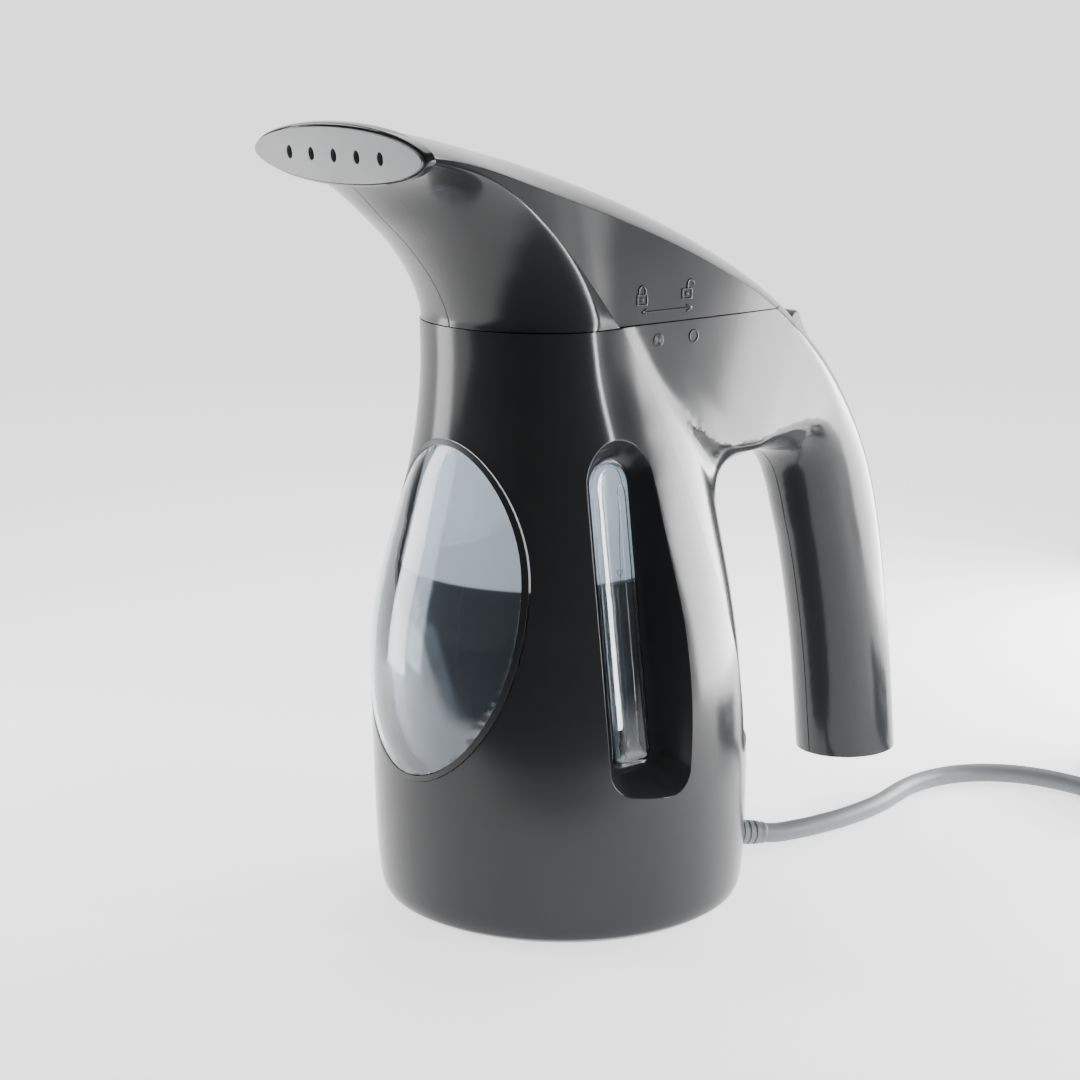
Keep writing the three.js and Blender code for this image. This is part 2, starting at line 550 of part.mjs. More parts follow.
function neckCollar() {
  const z0 = DECK_TOP - NECK.skirt;
  const front = vessel(-WALL - RIDGE_STEP - FIT, 150, SPLIT_Z + 10);
  let c = deckPlate(front, DECK_TOP - NECK.deck, DECK_TOP)
    .add(axisNeck(NECK.bore + NECK.wall, z0, DECK_TOP - 0.5));
  c = c.subtract(axisNeck(NECK.bore, z0 - 5, DECK_TOP + 5));
  c = c.subtract(axisNeck(NECK.bore + LUG.reach + FIT, LUG_BOTTOM - FIT, LUG_BOTTOM + LUG.height + FIT));
  const slots = sectors(LUG.turn - 2, LUG.sweep + 4, NECK.bore - 3, NECK.bore + LUG.reach + FIT,
    LUG_BOTTOM, DECK_TOP + 5);
  return c.subtract(slots);
}
piece(body, "neck_collar", neckCollar(), dark);
piece(body, "tank_seal", ringAt(NECK.bore + 0.5, NECK.bore + NECK.wall, 0, NECK.y, TANK_TOP + FIT,
  DECK_TOP - NECK.skirt - FIT), rubber);
function splashBaffle() {
  const z = DECK_TOP - NECK.skirt + 0.6;
  let b = rod(NECK.bore - FIT, V(0, NECK.y, z), V(0, 0, 1), 1.6, 20);
  for (let k = 0; k < 6; k++) {
    const a = (k * Math.PI) / 3;
    b = b.subtract(rod(3.2, V(14 * Math.cos(a), NECK.y + 14 * Math.sin(a), z - 1), V(0, 0, 1), 4, 12));
  }
  return b;
}
piece(body, "splash_baffle", splashBaffle(), white);
piece(body, "neck_gasket", ringAt(NECK.bore + 1, NECK.bore + 3.4, 0, NECK.y, DECK_TOP + 0.2,
  SPLIT_Z + NECK.deckDrop - 0.2), rubber);

// ---- switch and rocker -------------------------------------------------------------------------------------
piece(body, "switch_body", atSwitch([[-9.5, -21], [9.5, -21], [9.5, -8], [-9.5, -8]], SWITCH.wide), dark);
const pivot = V(0, SWITCH.y, SWITCH.z).addScaledVector(outward, -SWITCH.pivotDrop);
piece(body, "rocker_pin",
  rod(0.9, pivot.clone().setX(-SWITCH.wide / 2 - 0.2), V(1, 0, 0), SWITCH.wide + 0.4, 12), steel);
const rockerShape = new THREE.Shape();
rockerShape.moveTo(0.5 - reach, -2);
rockerShape.lineTo(0, -5.5);
rockerShape.lineTo(reach - 0.5, -2);
rockerShape.lineTo(reach, 0.8);
rockerShape.quadraticCurveTo(1, 0.9, 3.5 - reach, 5.3);
rockerShape.quadraticCurveTo(-reach, 5.6, -reach, 3.4);
piece(rocker, "rocker_switch", atSwitch(rockerShape, SWITCH.wide)
  .subtract(rod(0.96, pivot.clone().setX(-20), V(1, 0, 0), 40, 12)), silver);

// ---- head --------------------------------------------------------------------------------------------------
const nozzleLean = rad(PLATE.lean);
const nozzleOut = V(0, -Math.cos(nozzleLean), -Math.sin(nozzleLean));
const nozzleUp = V(0, -Math.sin(nozzleLean), Math.cos(nozzleLean));
/** The steam plate's outline, grown by a margin. */
function plateOutline(grow) {
  const sides = 32;
  return Array.from({ length: sides }, (_, i) => {
    const a = (2 * Math.PI * i) / sides;
    const soft = (v, power) => Math.sign(v) * Math.abs(v) ** power;
    return [(PLATE.half + grow) * soft(Math.cos(a), 0.96), (PLATE.high + grow) * soft(Math.sin(a), 1.08)];
  });
}
/** An outline standing on the nozzle's plane between two distances in front of it. */
const onNozzle = (outline, w0, w1) =>
  extrude(outline, w1 - w0,
    frameAt(V(1, 0, 0), nozzleUp, nozzleOut, V(0, PLATE.y, PLATE.z).addScaledVector(nozzleOut, w0)));
const beyondNozzle = onNozzle([[-90, -90], [90, -90], [90, 90], [-90, 90]], 0, 60);

function headShell() {
  const skin = nozzle(0).intersect(beforeRidge(0.6)).add(spine(0));
  const hollow = nozzle(-WALL).add(spine(-WALL));
  let h = skin.subtract(hollow);
  for (const s of HEAD_SCREWS) h = h.add(s.post.intersect(spine(-1)));
  for (const s of HEAD_SCREWS) h = h.subtract(s.hole);
  return h.subtract(below(SPLIT_Z + FIT / 2)).subtract(beyondNozzle);
}
const shell = headShell();
for (const [name, side] of SIDES)
  piece(head, `head_shell_${name}`, shell.intersect(halfSpace(side)), graphite);
HEAD_SCREWS.forEach((s, i) => piece(head, `head_screw_${i + 1}`, s.screw, steel));

function headBase() {
  const z0 = SPLIT_Z + NECK.deckDrop;
  let b = deckPlate(nozzle(-WALL - FIT), z0, z0 + NECK.deck)
    .add(axisNeck(NECK.bore - FIT, LUG_BOTTOM, z0 + 1));
  b = b.add(sectors(0, LUG.sweep, NECK.bore - 2, NECK.bore + LUG.reach, LUG_BOTTOM, LUG_BOTTOM + LUG.height));
  return b.subtract(axisNeck(NECK.bore - 3, LUG_BOTTOM - 5, z0 + 20));
}
piece(head, "head_base", headBase(), dark);

piece(head, "nozzle_bezel", onNozzle(plateOutline(BEZEL.grow), FIT, BEZEL.deep)
  .subtract(onNozzle(plateOutline(FIT), BEZEL.step, BEZEL.deep + 2))
  .subtract(onNozzle(plateOutline(-BEZEL.land), -1, BEZEL.deep + 2)), dark);
function steamPlate() {
  let p = onNozzle(plateOutline(0), BEZEL.step + FIT, BEZEL.step + FIT + PLATE.thick);
  for (let k = 0; k < PLATE.holes; k++) {
    const x = (k - (PLATE.holes - 1) / 2) * PLATE.pitch;
    const oval = Array.from({ length: 10 }, (_, i) => {
      const a = (Math.PI * i) / 5;
      return [x + HOLE.halfWide * Math.cos(a), HOLE.halfHigh * Math.sin(a)];
    });
    p = p.subtract(onNozzle(oval, -5, 20));
  }
  return p;
}
piece(head, "steam_plate", steamPlate(), silver);

// The duct that carries steam from the neck to the plate: round at the neck, flat and wide at the nozzle.
const DUCT = [
  [-13, 200.5, 17, 17, 0], [-17, 210, 17, 16, 20], [-28, 222, 19, 13, 42], [-44, 233, 23, 9.5, 58],
  [-62, 242, 28, 6.5, 72], [-80, 248.4, 33, 4.6, 82],
];
const duct = (grow, past) =>
  loft(DUCT.map(([y, z, wide, high, turn], row) => Array.from({ length: 18 }, (_, i) => {
    const a = (2 * Math.PI * i) / 18;
    const t = rad(turn);
    const push = past * (row === 0 ? -1 : row === DUCT.length - 1 ? 1 : 0);
    const v = (high + grow) * Math.sin(a);
    return V((wide + grow) * Math.cos(a), y + v * Math.cos(t) - push * Math.sin(t),
      z + v * Math.sin(t) + push * Math.cos(t));
  })));
piece(head, "steam_duct", duct(0, 0).subtract(duct(-1.4, 2)), white);

// ---- power cord --------------------------------------------------------------------------------------------
const reliefEnd = CORD.reliefLength;
piece(body, "strain_relief", turned([[0, -6], [CORD.reliefBig, -6], [CORD.reliefBig, 2],
  [CORD.reliefSmall, reliefEnd - FIT - 1], [CORD.reliefSmall - 0.6, reliefEnd - FIT], [0, reliefEnd - FIT]],
  exit, reliefDirection, 20), cordGrey);
piece(body, "cord_lead", tubeAlong(LEAD_ROUTE, CORD.radius, 10, 16), cordGrey);
const coilInner = COIL.turns[0] - CORD.radius;
const coilOuter = COIL.turns[COIL.turns.length - 1] + CORD.radius;
const coilHigh = COIL.layers * 2 * CORD.radius;
piece(body, "cord_coil", ringAt(coilInner, coilOuter, COIL.x, COIL.y, 0, coilHigh, 28), cordGrey);
piece(body, "cord_tail", tubeAlong(TAIL_ROUTE, CORD.radius, 10, 7), cordGrey);

const tieWide = 12;
/** A (y, z) rectangle across the coil's section, from its inside to its outside. */
const overCoil = (inside, outside, z0, z1) =>
  [[coilInner - inside, z0], [coilOuter + outside, z0], [coilOuter + outside, z1], [coilInner - inside, z1]];
piece(body, "cord_tie", acrossX(overCoil(2.5, 1.6, 0, coilHigh + 1.6), -tieWide / 2, tieWide / 2)
  .subtract(acrossX(overCoil(1.1, FIT, -1, coilHigh + FIT), -tieWide, tieWide))
  .translate([COIL.x, COIL.y, 0]), rubber);

const tailEnd = V(...TAIL_ROUTE[TAIL_ROUTE.length - 1]);
const tailHeading = tailEnd.clone().sub(V(...TAIL_ROUTE[TAIL_ROUTE.length - 2])).setZ(0).normalize();
const plugFrame = (forward, z) =>
  frameAt(V(tailHeading.y, -tailHeading.x, 0), V(0, 0, 1), tailHeading.clone().negate(),
    tailEnd.clone().setZ(z).addScaledVector(tailHeading, forward));
function roundedRectangle(wide, high, radius) {
  const s = new THREE.Shape();
  const [a, b] = [wide / 2 - radius, high / 2 - radius];
  s.absarc(a, b, radius, 0, Math.PI / 2);
  s.absarc(-a, b, radius, Math.PI / 2, Math.PI);
  s.absarc(-a, -b, radius, Math.PI, 1.5 * Math.PI);
  s.absarc(a, -b, radius, 1.5 * Math.PI, 2 * Math.PI);
  return s;
}
const plugZ = coilHigh + FIT + PLUG.high / 2;
const plugStart = FIT + CORD.radius;
piece(body, "plug_body",
  extrude(roundedRectangle(PLUG.wide, PLUG.high, 4), PLUG.long,
    plugFrame(plugStart + PLUG.neck + PLUG.long, plugZ))
    .add(turned([[0, 0], [4.4, 0], [6, PLUG.neck + 1], [0, PLUG.neck + 1]],
      tailEnd.clone().setZ(plugZ).addScaledVector(tailHeading, plugStart), tailHeading, 16)), cordGrey);
for (const [name, side] of SIDES) {
  const base = plugStart + PLUG.neck + PLUG.long + FIT + PLUG.bladeLong;
  const x = (side * PLUG.pitch) / 2;
  piece(body, `plug_blade_${name}`, extrude(
    [[x - PLUG.bladeThick / 2, -PLUG.bladeHigh / 2], [x + PLUG.bladeThick / 2, -PLUG.bladeHigh / 2],
      [x + PLUG.bladeThick / 2, PLUG.bladeHigh / 2], [x - PLUG.bladeThick / 2, PLUG.bladeHigh / 2]],
    PLUG.bladeLong, plugFrame(base, plugZ)), steel);
}

export default steamer;
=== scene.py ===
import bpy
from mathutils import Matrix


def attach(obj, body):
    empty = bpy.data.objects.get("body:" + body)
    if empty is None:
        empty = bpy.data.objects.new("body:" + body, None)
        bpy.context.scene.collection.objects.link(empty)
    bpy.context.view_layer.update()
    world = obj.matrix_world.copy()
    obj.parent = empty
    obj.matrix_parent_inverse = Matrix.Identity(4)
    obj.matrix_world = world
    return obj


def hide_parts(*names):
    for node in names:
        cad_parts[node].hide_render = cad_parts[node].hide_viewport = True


bl_info = {
    "name": "Garment steamer",
    "version": (1, 0, 0),
    "blender": (4, 5, 0),
    "location": "3D View > Sidebar > Steamer",
    "description": "Makes the moulded shells, clear parts, cord and studio round a garment steamer's frame",
    "category": "Object",
}

import math

import bmesh
import bpy
import numpy as np
from bpy.props import FloatProperty, FloatVectorProperty, IntProperty, PointerProperty
from mathutils import Euler, Vector

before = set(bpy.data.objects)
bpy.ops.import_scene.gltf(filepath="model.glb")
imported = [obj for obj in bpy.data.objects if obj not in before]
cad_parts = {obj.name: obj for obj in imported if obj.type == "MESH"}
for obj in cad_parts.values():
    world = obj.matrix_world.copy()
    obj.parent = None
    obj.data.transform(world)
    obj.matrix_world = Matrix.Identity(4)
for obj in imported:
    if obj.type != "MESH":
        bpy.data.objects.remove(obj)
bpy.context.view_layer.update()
bpy.ops.object.select_all(action="DESELECT")

# ---- the steamer's forms, in millimetres ----------------------------------------------------------------
MM = 0.001
WALL = 2.2
GAP = 0.3
SPLIT_Z = 194.5
RIDGE_STEP = 1.3
CUP_TOP_Z = 52
HANDLE_END_Z = 22
WATER_Z = 114
# A field's value where its shape plays no part, in mm.
FAR = 60
# Halvings that find where an edge meets a cut, points round the plate, and points round the plug.
HALVINGS = 12
RING_POINTS = 160
PLUG_POINTS = 64
# The fillet between handle and vessel, in mm: at the ridge, behind it, more by the handle's arch, and the
# distance over which it grows.
BLEND = {"least": 0.2, "behind": 5, "arch": 13, "over": 26, "arch_at": (62, 138)}
# Where the cup's band ends, short of the handle, and the radius of the relief's hole.
CUP_END_Y = 90
RELIEF_ROOM = 5.1

# Vessel: height, front, back, half width, and where it is widest.
VESSEL = [
    [0, -56.5, 58.5, 57, 0], [2, -59.5, 61, 59.5, 0], [8, -61.5, 62.5, 60.8, 0], [25, -63, 63.5, 61.5, 0],
    [50, -64, 63.5, 61.8, 0], [75, -64, 62.5, 61.3, -2], [100, -61.5, 60, 58, -4], [130, -54, 57, 50, -8],
    [145, -50.3, 55.6, 46, -10.5], [160, -47.3, 53.6, 42.4, -13], [178, -45.7, 50, 39.2, -16],
    [196, -46, 45, 38, -18],
]
# Nozzle: underside (y, z), ridge (y, z), half width, and how full the section is.
NOZZLE = [
    [-45.7, 193, -6, 193, 38, 2], [-46.6, 198, -9.6, 198, 37.6, 2], [-50.4, 206, -16, 206.5, 36.8, 1.9],
    [-55.5, 213.5, -25, 217, 36.3, 1.8], [-62.5, 221.5, -36.5, 228.5, 36.4, 1.7],
    [-71.5, 229.8, -50.5, 238.5, 37.6, 1.5], [-80.5, 238.4, -67, 245.5, 40, 1.4],
    [-92, 247.6, -92, 251, 44, 1.3],
]
NOZZLE_WIDEST = 28
# Fin and handle: outer (y, z), inner (y, z), half width, crown, how square its edge is, and the inner crown.
SPINE = [
    [-93, 258.4, -93, 247, 43, 8, 1.35, 3], [-80, 257.6, -76.3, 244.3, 40, 8.5, 1.3, 5],
    [-64.3, 255.1, -59, 238, 37.2, 9, 1.2, 8], [-45.2, 250.6, -38.8, 225.4, 35.4, 10, 1.1, 8],
    [-25.4, 245.4, -20, 208, 34.8, 11, 1.1, 6], [-4.9, 239, -6, 190, 34.8, 11, 1.1, 2],
    [16.4, 231.4, 6, 177, 34.4, 11, 1.1, 2], [38.5, 222.1, 22, 162, 33.6, 11, 1.1, 2],
    [61.5, 210.8, 40, 149, 32, 11, 1.1, 4], [80, 199.6, 58, 142.2, 29.6, 11.5, 1.2, 9],
    [93.5, 189.6, 71, 141.5, 27, 12, 1.3, 13], [106, 179, 84, 141.5, 24.2, 13, 1.5, 15],
    [117, 168, 92, 139, 21.6, 14.5, 1.7, 17], [128.5, 153, 98, 133, 19.4, 16.5, 1.9, 18],
    [137.5, 137, 101.8, 124, 18.2, 18, 2, 18.5], [143.4, 121.6, 105.2, 112, 17.6, 19, 2, 18.5],
    [147.6, 104, 108.9, 99, 17.5, 19, 2, 18.5], [151.4, 81, 113.7, 76, 17.5, 19, 2, 18.5],
    [155, 57, 117.2, 53, 17.5, 19, 2, 18.5], [158.6, 23, 120.9, 19, 17.5, 19, 2, 18.5],
]
# Ridge, where the proud front shell ends against the fin, as (z, y) from the cup up.
RIDGE = [
    [52, 38.4], [62, 38], [78, 35.6], [101, 29.3], [129.6, 21.3], [149, 15.7], [168, 8.9], [181, 2.2],
    [194.5, -6.5], [213.5, -21.6], [230, -38], [240, -52], [247, -68], [251, -86], [256, -130],
]
WINDOW = {"top": 159, "bottom": 49.5, "widest": 101, "half": 38.5, "rim": 1.6}
RECESS = {
    "centre": (42.6, -11.5, 104.5), "lean": math.radians(7.7), "depth": 10, "floor": (9.2, -50, 50, 5),
    "mouth": (15.2, -58.5, 57.5, 8), "shift": -2, "inset": 1.2,
}
PLATE = {"y": -84.2, "z": 250.2, "lean": math.radians(7.4), "half": 43.5, "high": 8.4, "thick": 3.2,
         "holes": 5, "pitch": 11.8, "hole": (1.4, 2.05), "step": 1.7, "round": (0.96, 1.08)}
SWITCH = {"y": 108.4, "z": 177.1, "slope": math.radians(42), "length": 26, "wide": 12}
TANK = {"in": 4.7, "wall": 1.8, "bottom": 34, "top": 172, "back": 47}
CORD = {"radius": 3.5, "exit": (11, 62.2, 7.2), "relief": 20}
LEAD_ROUTE = [
    (17.2, 81, 4.2), (18.4, 84.8, 3.7), (20.4, 93, 3.6), (21.8, 104.5, 3.6), (21.9, 120, 3.6), (19.4, 138, 3.6),
    (15.8, 150, 3.6), (12.6, 161, 3.6), (11.4, 172, 3.6), (12.6, 183, 3.6), (16.8, 193.2, 3.6), (24, 201.6, 3.6),
    (33, 207.4, 3.6), (43, 210.6, 3.6), (53, 212, 3.6),
]
COIL = {"x": 81, "y": 261.5, "turns": (49, 42, 35), "per_turn": 18}
TAIL_ROUTE = [
    (32, 261.5, 17.9), (32.9, 254, 18), (36, 246.5, 18.3), (40.8, 240.3, 19), (47, 235.5, 20.2),
    (54.2, 232.5, 21.6), (61, 231.6, 22.6), (66, 231.5, 22.8),
]
PLUG = {"long": 32, "wide": 25, "high": 17, "neck": 12, "blade_long": 17, "blade_high": 6.3, "blade_thick": 1.5,
        "pitch": 12.7}


def smooth_rows(table, at):
    """Reads a table by its first column, with a smooth curve through each other column."""
    rows = np.asarray(table, float)
    at = np.asarray(at, float)
    k = np.clip(np.searchsorted(rows[:, 0], at) - 1, 0, len(rows) - 2)
    a, b = rows[k], rows[k + 1]
    before, after = rows[np.maximum(k - 1, 0)], rows[np.minimum(k + 2, len(rows) - 1)]
    h = b[..., :1] - a[..., :1]
    t = np.clip((at[..., None] - a[..., :1]) / h, -0.6, 1.6)
    slope_a = (b - before) / (b[..., :1] - before[..., :1]) * h
    slope_b = (after - a) / (after[..., :1] - a[..., :1]) * h
    value = a * (2 * t**3 - 3 * t**2 + 1) + slope_a * (t**3 - 2 * t**2 + t)
    value += b * (3 * t**2 - 2 * t**3) + slope_b * (t**3 - t**2)
    return np.moveaxis(value[..., 1:], -1, 0)


def numbered(table):
    """The same table with each row's number as its first column."""
    return [[i] + list(row) for i, row in enumerate(table)]


# ---- surfaces as grids of points ------------------------------------------------------------------------
def grid_faces(rows, columns, closed=False):
    """Quads between neighbouring points of a grid whose points run column by column within each row."""
    span = columns if closed else columns - 1
    r, c = np.meshgrid(np.arange(rows - 1), np.arange(span), indexing="ij")
    r, c = r.ravel(), c.ravel()
    n = (c + 1) % columns
    here, above = r * columns, (r + 1) * columns
    return [list(f) for f in np.stack([here + c, here + n, above + n, above + c], 1)]


def vessel_sheet(grow, z0, z1, sides=240, step=1.6):
    """The vessel's skin moved out by grow, between two heights."""
    z = np.unique(np.concatenate([np.arange(z0, min(z1, 9), 0.5), np.arange(max(z0, 9), z1, step), [z1]]))
    front, back, half, middle = smooth_rows(VESSEL, z)
    a = np.arange(sides) / sides * 2 * np.pi
    a, z = np.meshgrid(a, z)
    reach = np.where(np.cos(a) > 0, (middle - front)[:, None], (back - middle)[:, None]) + grow
    x = (half[:, None] + grow) * np.sin(a)
    y = middle[:, None] - reach * np.cos(a)
    return np.stack([x, y, z], -1).reshape(-1, 3), grid_faces(len(front), sides, closed=True)


def nozzle_sheet(rows=110, columns=110):
    """The right half of the nozzle's proud skin, a little past the middle plane."""
    t = np.linspace(-0.6, len(NOZZLE) - 0.6, rows)
    ly, lz, uy, uz, half, full = (c[:, None] for c in smooth_rows(numbered(NOZZLE), t))
    dy, dz = uy - ly, uz - lz
    span = np.hypot(dy, dz)
    dy, dz = dy / span, dz / span
    mix = np.clip(t[:, None] / 4, 0, 1)
    reach = np.minimum(NOZZLE_WIDEST + (span - NOZZLE_WIDEST) * mix, span)
    s = np.linspace(-0.03, 1.25, columns)[None, :]
    a = np.clip(s, -1, 1) * np.pi / 2
    d = reach * (1 - np.abs(np.cos(a)) ** (2 / full))
    past = np.clip((s - 1) / 0.25, 0, 1)
    d = d + past * np.maximum(span + 6 - reach, 2)
    x = half * np.sin(a) - 2 * past
    return np.stack([x, ly + dy * d, lz + dz * d], -1).reshape(-1, 3), grid_faces(rows, columns)


def spine_sheet(first, last, rows=150, columns=60):
    """The right half of the fin's outer skin between two of its rows: over the crown and down the side."""
    t = np.linspace(first, last, rows)
    oy, oz, iy, iz, half, crown, square, _ = (c[:, None] for c in smooth_rows(numbered(SPINE), t))
    dy, dz = iy - oy, iz - oz
    deep = np.hypot(dy, dz)
    dy, dz = dy / deep, dz / deep
    top = columns // 2
    a = np.linspace(-0.06, np.pi / 2, top)[None, :]
    d_top = crown * (1 - np.abs(np.cos(a)) ** (2 / square))
    x_top = half * np.sin(a)
    down = np.linspace(0, 1, columns - top + 1)[None, 1:]
    d = np.concatenate([d_top, crown + (deep - crown) * down], 1)
    x = np.concatenate([x_top, half + 0 * down], 1)
    return np.stack([x, oy + dy * d, oz + dz * d], -1).reshape(-1, 3), grid_faces(rows, columns)


def trim(points, faces, keep, snap=0.32):
    """Cuts a mesh along the line where keep(points) is zero, and leaves the side where it is positive."""
    points = points.copy()
    value = keep(points)
    edges = {(min(a, b), max(a, b)) for f in faces for a, b in zip(f, f[1:] + f[:1])}
    edges = np.array(sorted(edges))
    crossing = edges[(value[edges[:, 0]] > 0) != (value[edges[:, 1]] > 0)]

    def roots(pairs):
        lo, hi = np.zeros(len(pairs)), np.ones(len(pairs))
        start, end = points[pairs[:, 0]], points[pairs[:, 1]]
        positive = value[pairs[:, 0]] > 0
        for _ in range(HALVINGS):
            mid = (lo + hi) / 2
            same = (keep(start + (end - start) * mid[:, None]) > 0) == positive
            lo, hi = np.where(same, mid, lo), np.where(same, hi, mid)
        return (lo + hi) / 2

    if len(crossing):
        t = roots(crossing)
        best = {}
        for (a, b), u in zip(crossing, t):
            if u < snap and u < best.get(a, (9,))[0]:
                best[a] = (u, b, u)
            if 1 - u < snap and 1 - u < best.get(b, (9,))[0]:
                best[b] = (1 - u, a, 1 - u)
        moved = {v: points[v] + (points[w] - points[v]) * u for v, (_, w, u) in best.items()}
        for v, p in moved.items():
            points[v] = p
            value[v] = 0
        left = crossing[(value[crossing[:, 0]] * value[crossing[:, 1]]) < 0]
        t = roots(left) if len(left) else np.zeros(0)
        cut = {(a, b): len(points) + i for i, (a, b) in enumerate(map(tuple, left))}
        start, end = points[left[:, 0]], points[left[:, 1]]
        fresh = start + (end - start) * t[:, None] if len(left) else np.zeros((0, 3))
        points = np.concatenate([points, fresh])
    else:
        cut = {}
    kept = []
    for f in faces:
        v = value[f]
        if v.max() <= 0:
            continue
        if v.min() >= 0:
            kept.append(list(f))
            continue
        ring = []
        for a, b in zip(f, list(f[1:]) + [f[0]]):
            if value[a] >= 0:
                ring.append(a)
            if value[a] * value[b] < 0:
                ring.append(cut[(min(a, b), max(a, b))])
        if len(ring) > 2:
            kept.append(ring)
    return used_only(points, kept)


def used_only(points, faces):
    """The same faces, with only the points that they use."""
    used = np.zeros(len(points), bool)
    for f in faces:
        used[f] = True
    number = np.cumsum(used) - 1
    return points[used], [[int(number[i]) for i in f] for f in faces]


# ---- fields: below zero inside a shape, and about the distance from its surface in millimetres -------------
def vessel_field(p, grow=0.0):
    """The vessel, moved out by grow."""
    front, back, half, middle = smooth_rows(VESSEL, np.clip(p[:, 2], 0, 200))
    reach = np.where(p[:, 1] < middle, middle - front, back - middle) + grow
    half = half + grow
    gx, gy = p[:, 0] / half, (p[:, 1] - middle) / reach
    rho = np.maximum(np.hypot(gx, gy), 1e-6)
    slope = np.hypot(gx / half, gy / reach) / rho
    return (rho - 1) / slope


def spine_map(step=0.9):
    """For each (y, z) on a lattice, the spine's row and the depth below its outer line."""
    t = np.linspace(0, len(SPINE) - 0.4, 420)
    oy, oz, iy, iz = smooth_rows(numbered(SPINE), t)[:4]
    deep = np.hypot(iy - oy, iz - oz)
    dy, dz = (iy - oy) / deep, (iz - oz) / deep
    y, z = np.arange(-75, 172, step), np.arange(8, 250, step)
    py, pz = (g.ravel() for g in np.meshgrid(y, z, indexing="ij"))
    row, depth = np.full(len(py), 0.0), np.full(len(py), 90.0)
    miss = np.full(len(py), 1e9)
    side = (py[:, None] - oy) * dz - (pz[:, None] - oz) * dy
    for k in range(len(t) - 1):
        s0, s1 = side[:, k], side[:, k + 1]
        hit = (s0 > 0) != (s1 > 0)
        if not hit.any():
            continue
        u = s0[hit] / (s0[hit] - s1[hit])
        mix = [c[k] + (c[k + 1] - c[k]) * u for c in (oy, oz, dy, dz, deep)]
        d = (py[hit] - mix[0]) * mix[2] + (pz[hit] - mix[1]) * mix[3]
        out = np.maximum(-d, d - mix[4])
        index = np.flatnonzero(hit)
        better = out < miss[index]
        index, u, d, out = index[better], u[better], d[better], out[better]
        row[index], depth[index], miss[index] = t[k] + (t[k + 1] - t[k]) * u, d, out
    shape = (len(y), len(z))
    return y[0], z[0], step, row.reshape(shape), depth.reshape(shape)


SPINE_MAP = []


def spine_field(p):
    """The fin and handle, from its rows' sections."""
    if not SPINE_MAP:
        SPINE_MAP.extend(spine_map())
    y0, z0, step, row, depth = SPINE_MAP
    fy = np.clip((p[:, 1] - y0) / step, 0, row.shape[0] - 1.001)
    fz = np.clip((p[:, 2] - z0) / step, 0, row.shape[1] - 1.001)
    i, j = fy.astype(int), fz.astype(int)
    u, v = fy - i, fz - j

    def read(lattice):
        low = lattice[i, j] * (1 - u) + lattice[i + 1, j] * u
        high = lattice[i, j + 1] * (1 - u) + lattice[i + 1, j + 1] * u
        return low * (1 - v) + high * v

    d = read(depth)
    oy, oz, iy, iz, half, crown, square, inner = smooth_rows(numbered(SPINE), read(row))
    deep = np.hypot(iy - oy, iz - oz)
    inner = np.maximum(inner, 1)
    up = (crown - d) / crown
    low = (inner - (deep - d)) / inner
    above, under = np.maximum(up, 0), np.maximum(low, 0)
    g = (p[:, 0] / half) ** 2 + above**square + under**2 - 1
    slope_x = 2 * p[:, 0] / half**2
    slope_d = np.where(up > 0, -square * above ** (square - 1) / crown, 0) + 2 * under / inner
    return g / np.maximum(np.hypot(slope_x, slope_d), 0.6 / half)


def ridge_field(p):
    """Above zero in front of the ridge."""
    z = np.clip(p[:, 2], RIDGE[0][0], RIDGE[-1][0])
    y = smooth_rows(RIDGE, z)[0]
    slope = (smooth_rows(RIDGE, z + 0.2)[0] - smooth_rows(RIDGE, z - 0.2)[0]) / 0.4
    cup = np.minimum(CUP_TOP_Z - p[:, 2], CUP_END_Y - p[:, 1])
    return np.maximum((y - p[:, 1]) / np.hypot(1, slope), cup)


def window_field(p, grow=0.0):
    """Below zero inside the window's egg-shaped outline, seen from the front."""
    above, below = WINDOW["top"] - WINDOW["widest"], WINDOW["widest"] - WINDOW["bottom"]
    reach = np.where(p[:, 2] > WINDOW["widest"], above, below) + grow
    half = WINDOW["half"] + grow
    gx, gz = p[:, 0] / half, (p[:, 2] - WINDOW["widest"]) / reach
    rho = np.maximum(np.hypot(gx, gz), 1e-6)
    distance = (rho - 1) * rho / np.maximum(np.hypot(gx / half, gz / reach), 1e-6)
    return np.where(p[:, 1] < -12, distance, FAR)


def slot_field(u, v, half, low, high, corner):
    """A slot with a round top and rounded lower corners."""
    middle, tall = (low + high) / 2, (high - low) / 2
    r = np.where(v > middle, half, corner)
    qu, qv = np.abs(u) - half + r, np.abs(v - middle) - tall + r
    return np.minimum(np.maximum(qu, qv), 0) + np.hypot(np.maximum(qu, 0), np.maximum(qv, 0)) - r


def recess_axes():
    """Up the right recess's floor, and out of it."""
    lean = RECESS["lean"]
    return Vector((-math.sin(lean), 0, math.cos(lean))), Vector((math.cos(lean), 0, math.sin(lean)))


def recess_frame(p):
    """(u, v, w) in the right recess: along Y, up its floor and out of it."""
    up, out = recess_axes()
    rel = p - np.array(RECESS["centre"])
    w = rel @ np.array(out)
    return rel[:, 1] - RECESS["shift"] * w / RECESS["depth"], rel @ np.array(up), w


def recess_sizes(w):
    """The recess's half width, lower and upper end and corner at w out of its floor."""
    t = w / RECESS["depth"]
    return [a + (b - a) * t for a, b in zip(RECESS["floor"], RECESS["mouth"])]


def mouth_field(p):
    """Above zero outside the recess's drafted outline, on either side of the vessel."""
    q = p * np.array([1, 1, 1])
    q[:, 0] = np.abs(q[:, 0])
    u, v, w = recess_frame(q)
    half, low, high, corner = recess_sizes(w)
    return np.where(q[:, 0] > 25, slot_field(u, v, half, low, high, corner), FAR)


